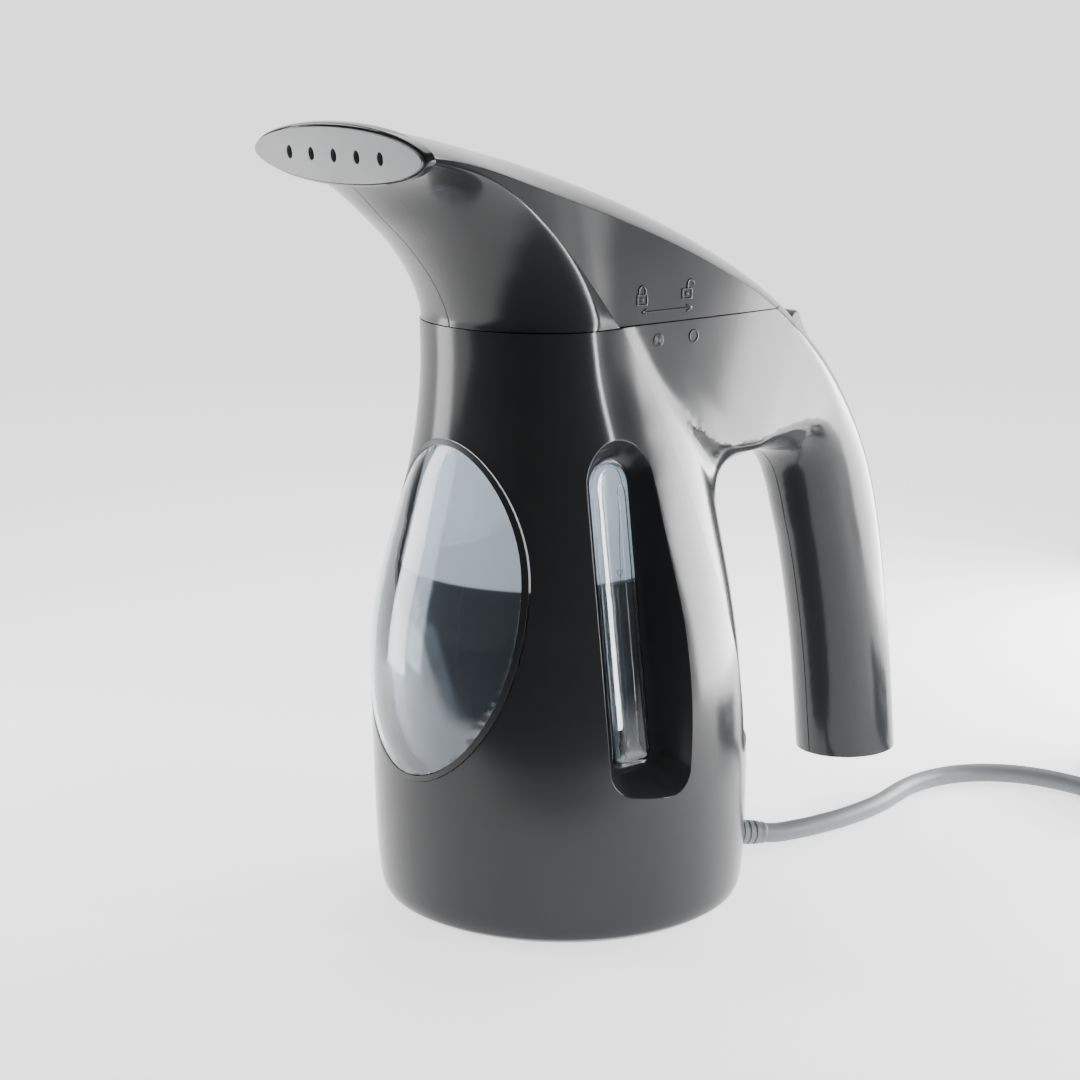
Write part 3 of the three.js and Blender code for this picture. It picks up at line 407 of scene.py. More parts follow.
def smooth_union(a, b, k):
    """Two fields as one, with a fillet of about k where they meet."""
    h = np.maximum(k - np.abs(a - b), 0) / np.maximum(k, 1e-6)
    return np.minimum(a, b) - h * h * k / 4


def rear_field(p):
    """The back of the vessel and the handle, flowing into each other behind the ridge."""
    y, z = BLEND["arch_at"]
    behind = np.clip(-ridge_field(p) / BLEND["over"], 0, 1)
    arch = np.exp(-((p[:, 1] - y) ** 2 + (p[:, 2] - z) ** 2) / BLEND["over"] ** 2)
    k = (behind**2 * (3 - 2 * behind)) * (BLEND["behind"] + BLEND["arch"] * arch) + BLEND["least"]
    return smooth_union(vessel_field(p, -RIDGE_STEP), spine_field(p), k)


def switch_frame(p):
    """(x, along, outward) in the switch's leaning frame."""
    s = SWITCH["slope"]
    y, z = p[:, 1] - SWITCH["y"], p[:, 2] - SWITCH["z"]
    return p[:, 0], y * math.cos(s) - z * math.sin(s), y * math.sin(s) + z * math.cos(s)


def skin_of(field, low, high, step):
    """A quad mesh of a field's zero surface, with a corner where the surface has one."""
    axes = [np.arange(a, b + step, step) for a, b in zip(low, high)]
    nodes = np.stack(np.meshgrid(*axes, indexing="ij"), -1)
    value = field(nodes.reshape(-1, 3)).reshape(nodes.shape[:3])
    inside = value < 0
    cells = tuple(n - 1 for n in value.shape)
    total = int(np.prod(cells))
    squares, sums = np.zeros((total, 3, 3)), np.zeros((total, 3))
    mass, count = np.zeros((total, 3)), np.zeros(total)
    quads = []
    for axis in range(3):
        first, second = [slice(None)] * 3, [slice(None)] * 3
        first[axis], second[axis] = slice(0, -1), slice(1, None)
        at = np.argwhere(inside[tuple(first)] != inside[tuple(second)])
        across = [i for i in range(3) if i != axis]
        for i in across:
            at = at[(at[:, i] > 0) & (at[:, i] < cells[i])]
        ahead = at.copy()
        ahead[:, axis] += 1
        start, end = nodes[tuple(at.T)], nodes[tuple(ahead.T)]
        lo, hi = np.zeros(len(at)), np.ones(len(at))
        was = inside[tuple(at.T)]
        for _ in range(9):
            mid = (lo + hi) / 2
            same = (field(start + (end - start) * mid[:, None]) < 0) == was
            lo, hi = np.where(same, mid, lo), np.where(same, hi, mid)
        point = start + (end - start) * ((lo + hi) / 2)[:, None]
        normal = slope_of(field, point)
        around = []
        for da, db in ((0, 0), (-1, 0), (-1, -1), (0, -1)):
            cell = at.copy()
            cell[:, across[0]] += da
            cell[:, across[1]] += db
            flat = np.ravel_multi_index(tuple(cell.T), cells)
            around.append(flat)
            np.add.at(squares, flat, normal[:, :, None] * normal[:, None, :])
            np.add.at(sums, flat, normal * (normal * point).sum(1, keepdims=True))
            np.add.at(mass, flat, point)
            np.add.at(count, flat, 1)
        ring = np.stack(around, 1)
        flip = was if axis != 1 else ~was
        ring[~flip] = ring[~flip][:, ::-1]
        quads.append(ring)
    quads = np.concatenate(quads)
    used = np.unique(quads)
    middle = mass[used] / count[used][:, None]
    pull = 0.04 * count[used]
    left = squares[used] + np.eye(3) * pull[:, None, None]
    right = sums[used] + middle * pull[:, None]
    points = np.linalg.solve(left, right[..., None])[..., 0]
    corner = np.stack(np.unravel_index(used, cells), 1) * step + np.array([a[0] for a in axes])
    points = np.clip(points, corner, corner + step)
    return points, [list(map(int, q)) for q in np.searchsorted(used, quads)]


def slope_of(field, p, h=0.05):
    """The direction in which a field grows fastest."""
    n = np.stack([field(p + h * np.eye(3)[i]) - field(p - h * np.eye(3)[i]) for i in range(3)], 1)
    return n / np.maximum(np.linalg.norm(n, axis=1, keepdims=True), 1e-9)


# ---- making and finishing pieces ------------------------------------------------------------------------
def place(name, points, faces):
    """A mesh object from points in millimetres."""
    mesh = bpy.data.meshes.new(name)
    mesh.from_pydata((np.asarray(points, float) * MM).tolist(), [], faces)
    mesh.validate()
    obj = bpy.data.objects.new(name, mesh)
    bpy.context.scene.collection.objects.link(obj)
    return obj


def alone(obj):
    """Makes a piece the only one that an operator acts on."""
    bpy.ops.object.select_all(action="DESELECT")
    obj.select_set(True)
    bpy.context.view_layer.objects.active = obj


def apply(obj, kind, **settings):
    """Adds a modifier and applies it."""
    modifier = obj.modifiers.new(kind.title(), kind)
    for key, value in settings.items():
        setattr(modifier, key, value)
    alone(obj)
    bpy.ops.object.modifier_apply(modifier=modifier.name)


def merged(obj, distance=0.02):
    """One skin, with doubled points merged and normals turned outward."""
    bm = bmesh.new()
    bm.from_mesh(obj.data)
    bmesh.ops.remove_doubles(bm, verts=bm.verts, dist=distance * MM)
    bmesh.ops.dissolve_degenerate(bm, edges=bm.edges, dist=0.004 * MM)
    bmesh.ops.recalc_face_normals(bm, faces=bm.faces)
    bm.to_mesh(obj.data)
    bm.free()


def soften(obj, radius, weak=0.3, strong=None, angle=32, segments=3):
    """Rounds a moulded piece's edges: radius where strong(point) holds, and a share of it elsewhere."""
    bm = bmesh.new()
    bm.from_mesh(obj.data)
    layer = bm.edges.layers.float.get("bevel_weight_edge") or bm.edges.layers.float.new("bevel_weight_edge")
    for e in bm.edges:
        if len(e.link_faces) == 2 and e.calc_face_angle(0) > math.radians(angle):
            middle = (e.verts[0].co + e.verts[1].co) / 2 / MM
            e[layer] = 1.0 if strong and strong(middle) else weak
    bm.to_mesh(obj.data)
    bm.free()
    apply(obj, "BEVEL", width=radius * MM, segments=segments, limit_method="WEIGHT", use_clamp_overlap=True)


def smooth(obj, angle=38):
    """Shades a piece smooth up to an angle in degrees."""
    alone(obj)
    bpy.ops.object.shade_smooth_by_angle(angle=math.radians(angle))
    apply(obj, "WEIGHTED_NORMAL", keep_sharp=True, weight=60)


def walled(obj, wall, radius=0.9, weak=0.34, strong=None, lowest=-1.0):
    """Gives a skin its wall, inward and nowhere below a height in mm, and rounds the edges."""
    apply(obj, "SOLIDIFY", thickness=wall * MM, offset=-1, use_even_offset=True, thickness_clamp=1.2)
    for vertex in obj.data.vertices:
        vertex.co.z = max(vertex.co.z, lowest * MM)
    soften(obj, radius, weak, strong)
    smooth(obj)


def dress(obj, finish, body, slot, *nodes):
    """Gives a finished piece its material and its body, and hides the frame nodes that it stands for. The slot is
    not used.
    """
    obj.data.materials.clear()
    obj.data.materials.append(finish)
    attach(obj, body)
    if nodes:
        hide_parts(*nodes)
    return obj


def mirrored(points, faces):
    """The same skin on the left."""
    return points * np.array([-1, 1, 1]), [f[::-1] for f in faces]


def outward(obj, inside):
    """Turns a skin so that its faces point away from a point inside, in millimetres."""
    centre = Vector(inside) * MM
    facing = sum(((p.center - centre).dot(p.normal) > 0) - 0.5 for p in obj.data.polygons)
    if facing < 0:
        obj.data.flip_normals()


def prism(name, outline, frame_of, wide):
    """A solid from a closed outline of (a, b) pairs, carried by frame_of(a, b, x) and centred across x."""
    n = len(outline)
    points = [frame_of(a, b, side * wide / 2) for side in (-1, 1) for a, b in outline]
    faces = [list(range(n))[::-1], list(range(n, 2 * n))]
    faces += [[i, (i + 1) % n, n + (i + 1) % n, n + i] for i in range(n)]
    obj = place(name, points, faces)
    merged(obj)
    return obj


def turned(name, profile, at, direction, segments=48):
    """A solid of revolution from (radius, height) pairs that start and end on the axis."""
    axis = Vector(direction).normalized()
    side = axis.orthogonal().normalized()
    other = axis.cross(side)
    points = []
    for r, h in profile:
        for i in range(segments):
            a = 2 * math.pi * i / segments
            points.append(Vector(at) + axis * h + (side * math.cos(a) + other * math.sin(a)) * max(r, 1e-4))
    rows = len(profile)
    faces = grid_faces(rows, segments, closed=True)
    obj = place(name, [list(p) for p in points], faces)
    merged(obj, 0.01)
    bm = bmesh.new()
    bm.from_mesh(obj.data)
    bmesh.ops.holes_fill(bm, edges=[e for e in bm.edges if e.is_boundary])
    bmesh.ops.recalc_face_normals(bm, faces=bm.faces)
    bm.to_mesh(obj.data)
    bm.free()
    return obj


def stroke(name, paths, radius):
    """Raised lines: a round bead along each path of points, as one mesh."""
    curve = bpy.data.curves.new(name, "CURVE")
    curve.dimensions = "3D"
    curve.bevel_depth = radius * MM
    curve.bevel_resolution = 3
    curve.use_fill_caps = True
    for path, closed in paths:
        spline = curve.splines.new("POLY")
        spline.points.add(len(path) - 1)
        for p, q in zip(spline.points, path):
            p.co = (q[0] * MM, q[1] * MM, q[2] * MM, 1)
        spline.use_cyclic_u = closed
    obj = bpy.data.objects.new(name, curve)
    bpy.context.scene.collection.objects.link(obj)
    alone(obj)
    bpy.ops.object.convert(target="MESH")
    return bpy.context.view_layer.objects.active


# ---- materials ------------------------------------------------------------------------------------------
def linear(code):
    """An sRGB hex colour as linear RGBA."""
    parts = [int(code[i:i + 2], 16) / 255 for i in (1, 3, 5)]
    return [c / 12.92 if c <= 0.04045 else ((c + 0.055) / 1.055) ** 2.4 for c in parts] + [1.0]


def add_node(tree, kind, settings=None, links=None):
    """Adds a node, sets its sockets or properties by name, and links its inputs."""
    node = tree.nodes.new(kind)
    for key, value in (settings or {}).items():
        if key in node.inputs:
            node.inputs[key].default_value = value
        else:
            setattr(node, key, value)
    for key, source in (links or {}).items():
        tree.links.new(source, node.inputs[key])
    return node


def finish_of(name, colour, shade, grain_mm, grain_bump, rough, shader, mark_mm=18):
    """A material from two close colours, a grain of a size in mm, a roughness range and shader sockets."""
    made = bpy.data.materials.new(name)
    made.use_nodes = True
    tree = made.node_tree
    tree.nodes.clear()
    place_of = add_node(tree, "ShaderNodeTexCoord").outputs["Object"]
    cloud = add_node(tree, "ShaderNodeTexNoise", {"Scale": 1 / (mark_mm * MM), "Detail": 2.0},
                     {"Vector": place_of})
    tint = add_node(tree, "ShaderNodeMix", {"data_type": "RGBA"}, {"Factor": cloud.outputs["Fac"]})
    tint.inputs[6].default_value = colour
    tint.inputs[7].default_value = shade
    grain = add_node(tree, "ShaderNodeTexNoise", {"Scale": 1 / (grain_mm * MM), "Detail": 3.0},
                     {"Vector": place_of})
    span = add_node(tree, "ShaderNodeMapRange", {"To Min": rough[0], "To Max": rough[1]},
                    {"Value": cloud.outputs["Fac"]})
    bump = add_node(tree, "ShaderNodeBump", {"Strength": grain_bump, "Distance": grain_mm * MM * 0.2},
                    {"Height": grain.outputs["Fac"]})
    surface = add_node(tree, "ShaderNodeBsdfPrincipled", shader, {
        "Base Color": tint.outputs[2], "Roughness": span.outputs["Result"], "Normal": bump.outputs["Normal"]})
    add_node(tree, "ShaderNodeOutputMaterial", None, {"Surface": surface.outputs["BSDF"]})
    return made


def finishes():
    """Every finish on the steamer, by the name its pieces use."""
    c = bpy.context.scene.steamer_colours
    shell, silver, cord, water = list(c.shell), list(c.silver), list(c.cord), list(c.water)
    darker = lambda rgb, share: [v * share for v in rgb[:3]] + [1.0]
    return {
        # Polished-tool ABS: deep gloss, a very faint orange peel and slight colour drift.
        "gloss": finish_of("gloss_moulded_abs", shell, darker(shell, 0.9), 2.2, 0.02, (0.13, 0.19),
                           {"IOR": 1.53, "Specular IOR Level": 0.32}),
        # Spark-eroded PC/ABS with a fine satin grain.
        "silver": finish_of("satin_silver_abs", silver, darker(silver, 0.92), 0.35, 0.25, (0.36, 0.46),
                            {"IOR": 1.5, "Metallic": 0.12}),
        # Glass-filled PP, matt and dark, for pieces inside and under.
        "dark": finish_of("grained_black_pp", linear("#1c1d1f"), linear("#25262a"), 0.5, 0.3, (0.45, 0.6),
                          {"IOR": 1.49}),
        # Thermoplastic elastomer seal: near black with a soft sheen.
        "rubber": finish_of("moulded_tpe_seal", linear("#101113"), linear("#1a1b1d"), 0.6, 0.2, (0.35, 0.5),
                            {"IOR": 1.5, "Sheen Weight": 0.05}),
        # Injection-moulded clear polycarbonate, polished both sides.
        "clear": finish_of("polished_clear_pc", linear("#eef3f7"), linear("#e6eef5"), 6, 0.01, (0.01, 0.03),
                           {"IOR": 1.5, "Transmission Weight": 1.0}),
        # Clear SAN tank, slightly blue, with a painted glow above the water.
        "tank": tank_plastic_with_painted_glow(),
        "water": finish_of("water", water, darker(water, 0.8), 30, 0.0, (0.02, 0.03),
                           {"IOR": 1.33, "Transmission Weight": 0.35}, mark_mm=60),
        # Soft PVC sheath with a fine satin bloom.
        "cord": finish_of("satin_pvc_sheath", cord, darker(cord, 0.9), 0.7, 0.15, (0.38, 0.5),
                          {"IOR": 1.53}),
        "aluminium": finish_of("cast_aluminium", linear("#b9bcc0"), linear("#a9adb2"), 0.4, 0.3, (0.3, 0.42),
                               {"Metallic": 1.0}),
        "steel": finish_of("zinc_plated_steel", linear("#c4c6c8"), linear("#aeb0b3"), 0.3, 0.1, (0.2, 0.35),
                           {"Metallic": 1.0}),
        "nickel": finish_of("nickel_plated_brass", linear("#cfc9bd"), linear("#bdb6a8"), 0.25, 0.08,
                            (0.16, 0.28), {"Metallic": 1.0}),
        "white": finish_of("heat_resistant_pps", linear("#dedcd6"), linear("#d0cec7"), 0.5, 0.2, (0.45, 0.6),
                           {"IOR": 1.5}),
        "ink": finish_of("printed_level_ink", linear("#20252b"), linear("#2b3138"), 0.4, 0.05, (0.4, 0.5),
                         {"IOR": 1.5}),
        "backdrop": paper_with_painted_light(),
    }


def tank_plastic_with_painted_glow():
    """Clear SAN, frosted with droplets above the water and clear where the water wets it, and glowing faintly above
    the water: a painted glow that stands in for light scattered inside the tank.
    """
    made = finish_of("moulded_clear_san_painted_glow", linear("#e6ebef"), linear("#dae2e8"), 4, 0.02, (0.03, 0.07),
                     {"IOR": 1.35, "Emission Color": linear("#dfe6ec")})
    tree = made.node_tree
    surface = next(n for n in tree.nodes if n.type == "BSDF_PRINCIPLED")
    height = add_node(tree, "ShaderNodeSeparateXYZ")
    tree.links.new(add_node(tree, "ShaderNodeTexCoord").outputs["Object"], height.inputs[0])
    # Above the water the plastic glows: painted light in place of light scattered inside the tank.
    for socket, wet, dry in (("Transmission Weight", 0.92, 0.5), ("Emission Strength", 0.0, 0.3)):
        edge = add_node(tree, "ShaderNodeMapRange", {
            "From Min": (WATER_Z - 0.4) * MM, "From Max": (WATER_Z + 0.4) * MM,
            "To Min": wet, "To Max": dry}, {"Value": height.outputs["Z"]})
        tree.links.new(edge.outputs["Result"], surface.inputs[socket])
    return made


def paper_with_painted_light():
    """Matt studio paper with painted light: it glows white under and behind the steamer, and its colour fades to
    near black towards the camera as painted shade.
    """
    made = finish_of("matt_studio_paper_painted_light", linear("#f4f4f4"), linear("#efefef"), 1.5, 0.02, (0.85, 0.95),
                     {"IOR": 1.4, "Specular IOR Level": 0.1, "Emission Color": (1, 1, 1, 1)}, mark_mm=400)
    tree = made.node_tree
    surface = next(n for n in tree.nodes if n.type == "BSDF_PRINCIPLED")
    colour = surface.inputs["Base Color"].links[0].from_socket
    place_of = add_node(tree, "ShaderNodeTexCoord").outputs["Object"]
    forward = add_node(tree, "ShaderNodeVectorMath", {"operation": "DOT_PRODUCT"})
    forward.inputs[1].default_value = TOWARDS_CAMERA
    tree.links.new(place_of, forward.inputs[0])
    # How white the paper is: towards the camera its colour fades to near black, as painted shade.
    share = add_node(tree, "ShaderNodeMapRange", {
        "interpolation_type": "SMOOTHSTEP", "From Min": PAPER_PAINTED_SHADE[0], "From Max": PAPER_PAINTED_SHADE[1],
        "To Min": 1.0, "To Max": 0.06}, {"Value": forward.outputs["Value"]}).outputs["Result"]
    painted_shade = add_node(tree, "ShaderNodeVectorMath", {"operation": "SCALE"}, {"Scale": share})
    tree.links.new(colour, painted_shade.inputs[0])
    tree.links.new(painted_shade.outputs["Vector"], surface.inputs["Base Color"])
    # Where it is white the paper glows: painted light, though the paper is no lamp.
    painted_glow = add_node(tree, "ShaderNodeMath", {"operation": "MULTIPLY"})
    tree.links.new(share, painted_glow.inputs[0])
    painted_glow.inputs[1].default_value = PAPER_PAINTED_GLOW
    tree.links.new(painted_glow.outputs["Value"], surface.inputs["Emission Strength"])
    return made


FINISH = {}


def finish(name):
    """A finish, made once."""
    if not FINISH:
        FINISH.update(finishes())
    return FINISH[name]


# ---- settings -------------------------------------------------------------------------------------------
class SteamerSizes(bpy.types.PropertyGroup):
    edge: FloatProperty(name="Edge radius", description="Radius of the housing's parting edges, in mm",
                        default=0.34)
    rim: FloatProperty(name="Recess rim", description="Radius of the side recess's rim, in mm", default=1.3)
    bulge: FloatProperty(name="Lens bulge", description="How far the window stands out at its middle, in mm",
                         default=1.9)
    bead: FloatProperty(name="Symbol bead", description="Radius of the raised symbols' lines, in mm",
                        default=0.3)
    cell: FloatProperty(name="Handle mesh", description="Size of the handle's mesh cells, in mm", default=1.5)
    ribs: IntProperty(name="Rocker ribs", description="Number of grip ribs on the rocker", default=4)


class SteamerColours(bpy.types.PropertyGroup):
    shell: FloatVectorProperty(name="Housing", description="Gloss housing colour", subtype="COLOR", size=4,
                               default=linear("#2a2b2d"))
    silver: FloatVectorProperty(name="Steam plate", description="Steam plate and rocker colour", subtype="COLOR",
                                size=4, default=linear("#808184"))
    cord: FloatVectorProperty(name="Cord", description="Cord, relief and plug colour", subtype="COLOR", size=4,
                              default=linear("#727578"))
    water: FloatVectorProperty(name="Water", description="Colour of the water as the tinted tank shows it",
                               subtype="COLOR", size=4, default=linear("#39434e"))


def sizes():
    """The sizes that the panel shows."""
    return bpy.context.scene.steamer_sizes


# ---- housings -------------------------------------------------------------------------------------------
def behind_plate(p):
    """Above zero behind the nozzle's plane."""
    out = np.array([0, -math.cos(PLATE["lean"]), -math.sin(PLATE["lean"])])
    return -(p - np.array([0, PLATE["y"], PLATE["z"]])) @ out


def relief_axis():
    """Where the strain relief starts, and the direction in which it points."""
    start = Vector(CORD["exit"])
    return start, (Vector(LEAD_ROUTE[0]) - start).normalized()


def clear_of_relief(p):
    """Above zero outside the hole that the strain relief comes out of."""
    start, direction = relief_axis()
    rel = p - np.array(start)
    along = rel @ np.array(direction)
    off = np.linalg.norm(rel - along[:, None] * np.array(direction), axis=1) - RELIEF_ROOM
    return np.where(p[:, 1] > 40, off, FAR)


def slot_place(u, v, half, low, high, corner):
    """Where round the slot's outline a point lies, as a stretch's number and the share along it."""
    if v > high - half:
        return 1, math.atan2(v - (high - half), u) / math.pi
    if v < low + corner and u < corner - half:
        return 3, (math.atan2(v - low - corner, u - corner + half) % (2 * math.pi) - math.pi) / (math.pi / 2)
    if v < low + corner and u > half - corner:
        turn = math.atan2(v - low - corner, u - half + corner) % (2 * math.pi)
        return 5, (turn - 1.5 * math.pi) / (math.pi / 2)
    if v < low + corner:
        return 4, (u - (corner - half)) / (2 * (half - corner))
    side = (v - low - corner) / (high - half - low - corner)
    return (0, side) if u > 0 else (2, 1 - side)


def slot_point(stretch, share, half, low, high, corner):
    """The point of a slot's outline at a share along one of its six stretches."""
    turn = [None, share * math.pi, None, math.pi * (1 + share / 2), None, math.pi * (1.5 + share / 2)][stretch]
    if stretch == 1:
        return half * math.cos(turn), high - half + half * math.sin(turn)
    if stretch in (3, 5):
        u = corner - half if stretch == 3 else half - corner
        return u + corner * math.cos(turn), low + corner + corner * math.sin(turn)
    if stretch == 4:
        return corner - half + share * 2 * (half - corner), low
    tall = high - half - low - corner
    return (half, low + corner + share * tall) if stretch == 0 else (-half, high - half - share * tall)


def in_recess(side, u, v, w):
    """A point of the recess's frame, carried to one side of the vessel."""
    up, out = recess_axes()
    p = Vector(RECESS["centre"]) + up * v + out * w
    return [p.x * side, p.y + u + RECESS["shift"] * max(w, 0) / RECESS["depth"], p.z]


def recess_ring(side, places, w, inset):
    """The recess's outline at w out of its floor, moved in by inset."""
    half, low, high, corner = recess_sizes(w)
    inner = (half - inset, low + inset, high - inset, max(corner - inset, 0.5))
    return [in_recess(side, *slot_point(s, share, *inner), w) for s, share in places]


def with_recess(points, faces, side):
    """Adds the drafted walls and floor edge of one recess to the housing's skin, from the cut mouth inward."""
    on_mouth = np.abs(mouth_field(points)) < 0.03
    edge_count = {}
    for f in faces:
        for a, b in zip(f, f[1:] + f[:1]):
            key = (min(a, b), max(a, b))
            edge_count[key] = edge_count.get(key, 0) + 1
    rim = sorted({v for key, n in edge_count.items() if n == 1 for v in key
                  if on_mouth[v] and points[v][0] * side > 25})
    local = points[rim] * np.array([side, 1, 1])
    u, v, w = recess_frame(local)
    placed = [slot_place(a, b, *recess_sizes(c)) for a, b, c in zip(u, v, w)]
    order = sorted(range(len(rim)), key=lambda i: placed[i])
    rim, placed, w = [rim[i] for i in order], [placed[i] for i in order], w[order]
    fillet = [((1 - t) ** 2 * 2.0, t * t * 1.0) for t in np.linspace(0, 1, 6)]
    rings = []
    for share in np.linspace(0.12, 1, 9)[:-1]:
        deep = [c + (2.0 - c) * share for c in w]
        rings.append([in_recess(side, *slot_point(s, k, *recess_sizes(c)), c)
                      for (s, k), c in zip(placed, deep)])
    rings += [recess_ring(side, placed, depth, inset) for depth, inset in fillet]
    rings.append(recess_ring(side, placed, 0, RECESS["inset"]))
    n, base = len(rim), len(points)
    points = np.concatenate([points] + [np.array(r) for r in rings])
    rows = [rim] + [[base + r * n + i for i in range(n)] for r in range(len(rings))]
    for upper, lower in zip(rows, rows[1:]):
        for i in range(n):
            j = (i + 1) % n
            quad = [upper[i], upper[j], lower[j], lower[i]]
            faces.append(quad if side < 0 else quad[::-1])
    return points, faces


def front_skin():
    """The front housing's outside, with the window's hole and both recesses."""
    points, faces = vessel_sheet(0, 0, SPLIT_Z - GAP / 2)
    for keep in (ridge_field, window_field, mouth_field, clear_of_relief):
        points, faces = trim(points, faces, keep)
    for side in (1, -1):
        points, faces = with_recess(points, faces, side)
    return points, faces


class STEAMER_OT_front_housing(bpy.types.Operator):
    """Front shell with the window's hole and the two drafted recesses"""

    bl_idname = "steamer.front_housing"
    bl_label = "Front housing"

    def execute(self, context):
        obj = place("front_housing_shell", *front_skin())
        merged(obj, 0.01)
        outward(obj, (0, 0, 60))

        def on_rim(p):
            q = np.array([[p.x, p.y, p.z]])
            return abs(mouth_field(q)[0]) < 0.3 and vessel_field(q)[0] > -0.5

        walled(obj, WALL, sizes().rim, sizes().edge / sizes().rim, on_rim)
        dress(obj, finish("gloss"), "body", "housing", "front_housing")
        return {"FINISHED"}


def rear_solid(p):
    """The rear housings' outside, ending below the handle."""
    return np.maximum(rear_field(p), HANDLE_END_Z - p[:, 2])


def clear_of_switch(p):
    """Above zero outside the rocker's rectangular hole."""
    x, along, out = switch_frame(p)
    qx, qa = np.abs(x) - SWITCH["wide"] / 2 - 0.4 + 1, np.abs(along) - SWITCH["length"] / 2 - 1 + 1
    box = np.minimum(np.maximum(qx, qa), 0) + np.hypot(np.maximum(qx, 0), np.maximum(qa, 0)) - 1
    return np.where(out > -9, box, FAR)


class STEAMER_OT_rear_housing(bpy.types.Operator):
    """Two rear shells: the back of the vessel flowing into the handle, parted on the middle plane"""

    bl_idname = "steamer.rear_housing"
    bl_label = "Rear housings"

    def execute(self, context):
        cell = sizes().cell
        points, faces = skin_of(rear_solid, (-2.5 * cell, -40, HANDLE_END_Z - 3), (53, 166, SPLIT_Z + 4), cell)
        for keep in (lambda p: -GAP - ridge_field(p), lambda p: SPLIT_Z - GAP / 2 - p[:, 2],
                     lambda p: p[:, 0] - GAP / 2, clear_of_switch):
            points, faces = trim(points, faces, keep)
        for side, name in ((1, "right"), (-1, "left")):
            half = (points, faces) if side > 0 else mirrored(points, faces)
            obj = place(f"rear_housing_shell_{name}", *half)
            merged(obj, 0.01)
            outward(obj, (0, 30, 110))
            walled(obj, WALL, 0.9, sizes().edge / 0.9)
            dress(obj, finish("gloss"), "body", "housing", f"rear_housing_{name}")
        return {"FINISHED"}


class STEAMER_OT_head_shells(bpy.types.Operator):
    """Two head shells: the flared nozzle standing proud of the fin, parted on the middle plane"""

    bl_idname = "steamer.head_shells"
    bl_label = "Head shells"

    def execute(self, context):
        common = (lambda p: p[:, 2] - SPLIT_Z - GAP / 2, lambda p: p[:, 0] - GAP / 2, behind_plate)
        nozzle = nozzle_sheet()
        for keep in (*common, lambda p: ridge_field(p) - 0.3):
            nozzle = trim(*nozzle, keep)
        fin = spine_sheet(-0.3, 9.4)
        for keep in (*common, lambda p: 3 - ridge_field(p)):
            fin = trim(*fin, keep)
        for side, name in ((1, "right"), (-1, "left")):
            parts = []
            for form, skin in (("nozzle", nozzle), ("fin", fin)):
                obj = place(f"{form}_{name}", *(skin if side > 0 else mirrored(*skin)))
                merged(obj, 0.01)
                outward(obj, (0, -40, 225))
                walled(obj, WALL, 0.9, sizes().edge / 0.9, lowest=SPLIT_Z + GAP / 2)
                parts.append(obj)
            alone(parts[0])
            parts[1].select_set(True)
            bpy.ops.object.join()
            parts[0].name = f"head_shell_moulding_{name}"
            dress(parts[0], finish("gloss"), "head", "housing", f"head_shell_{name}")
        return {"FINISHED"}


# ---- nozzle ---------------------------------------------------------------------------------------------
def on_nozzle(a, b, w):
    """A point of the nozzle's plane: a across, b up it and w out of it."""
    lean = PLATE["lean"]
    return [a, PLATE["y"] - b * math.sin(lean) - w * math.cos(lean),
            PLATE["z"] + b * math.cos(lean) - w * math.sin(lean)]


def softened(v, power):
    """A power of a sine or cosine that keeps its sign."""
    return math.copysign(abs(v) ** power, v)


def plate_ring(grow, w):
    """The plate's outline grown by grow, at w out of the nozzle's plane."""
    across, up = PLATE["round"]
    ring = []
    for i in range(RING_POINTS):
        t = 2 * math.pi * i / RING_POINTS
        ring.append(on_nozzle((PLATE["half"] + grow) * softened(math.cos(t), across),
                              (PLATE["high"] + grow) * softened(math.sin(t), up), w))
    return ring


def loop_of_rings(name, rings):
    """A skin through rings of equal count, with the last ring joined to the first."""
    n = len(rings[0])
    faces = grid_faces(len(rings), n, closed=True)
    last = (len(rings) - 1) * n
    faces += [[last + i, last + (i + 1) % n, (i + 1) % n, i] for i in range(n)]
    obj = place(name, [p for ring in rings for p in ring], faces)
    merged(obj, 0.005)
    return obj


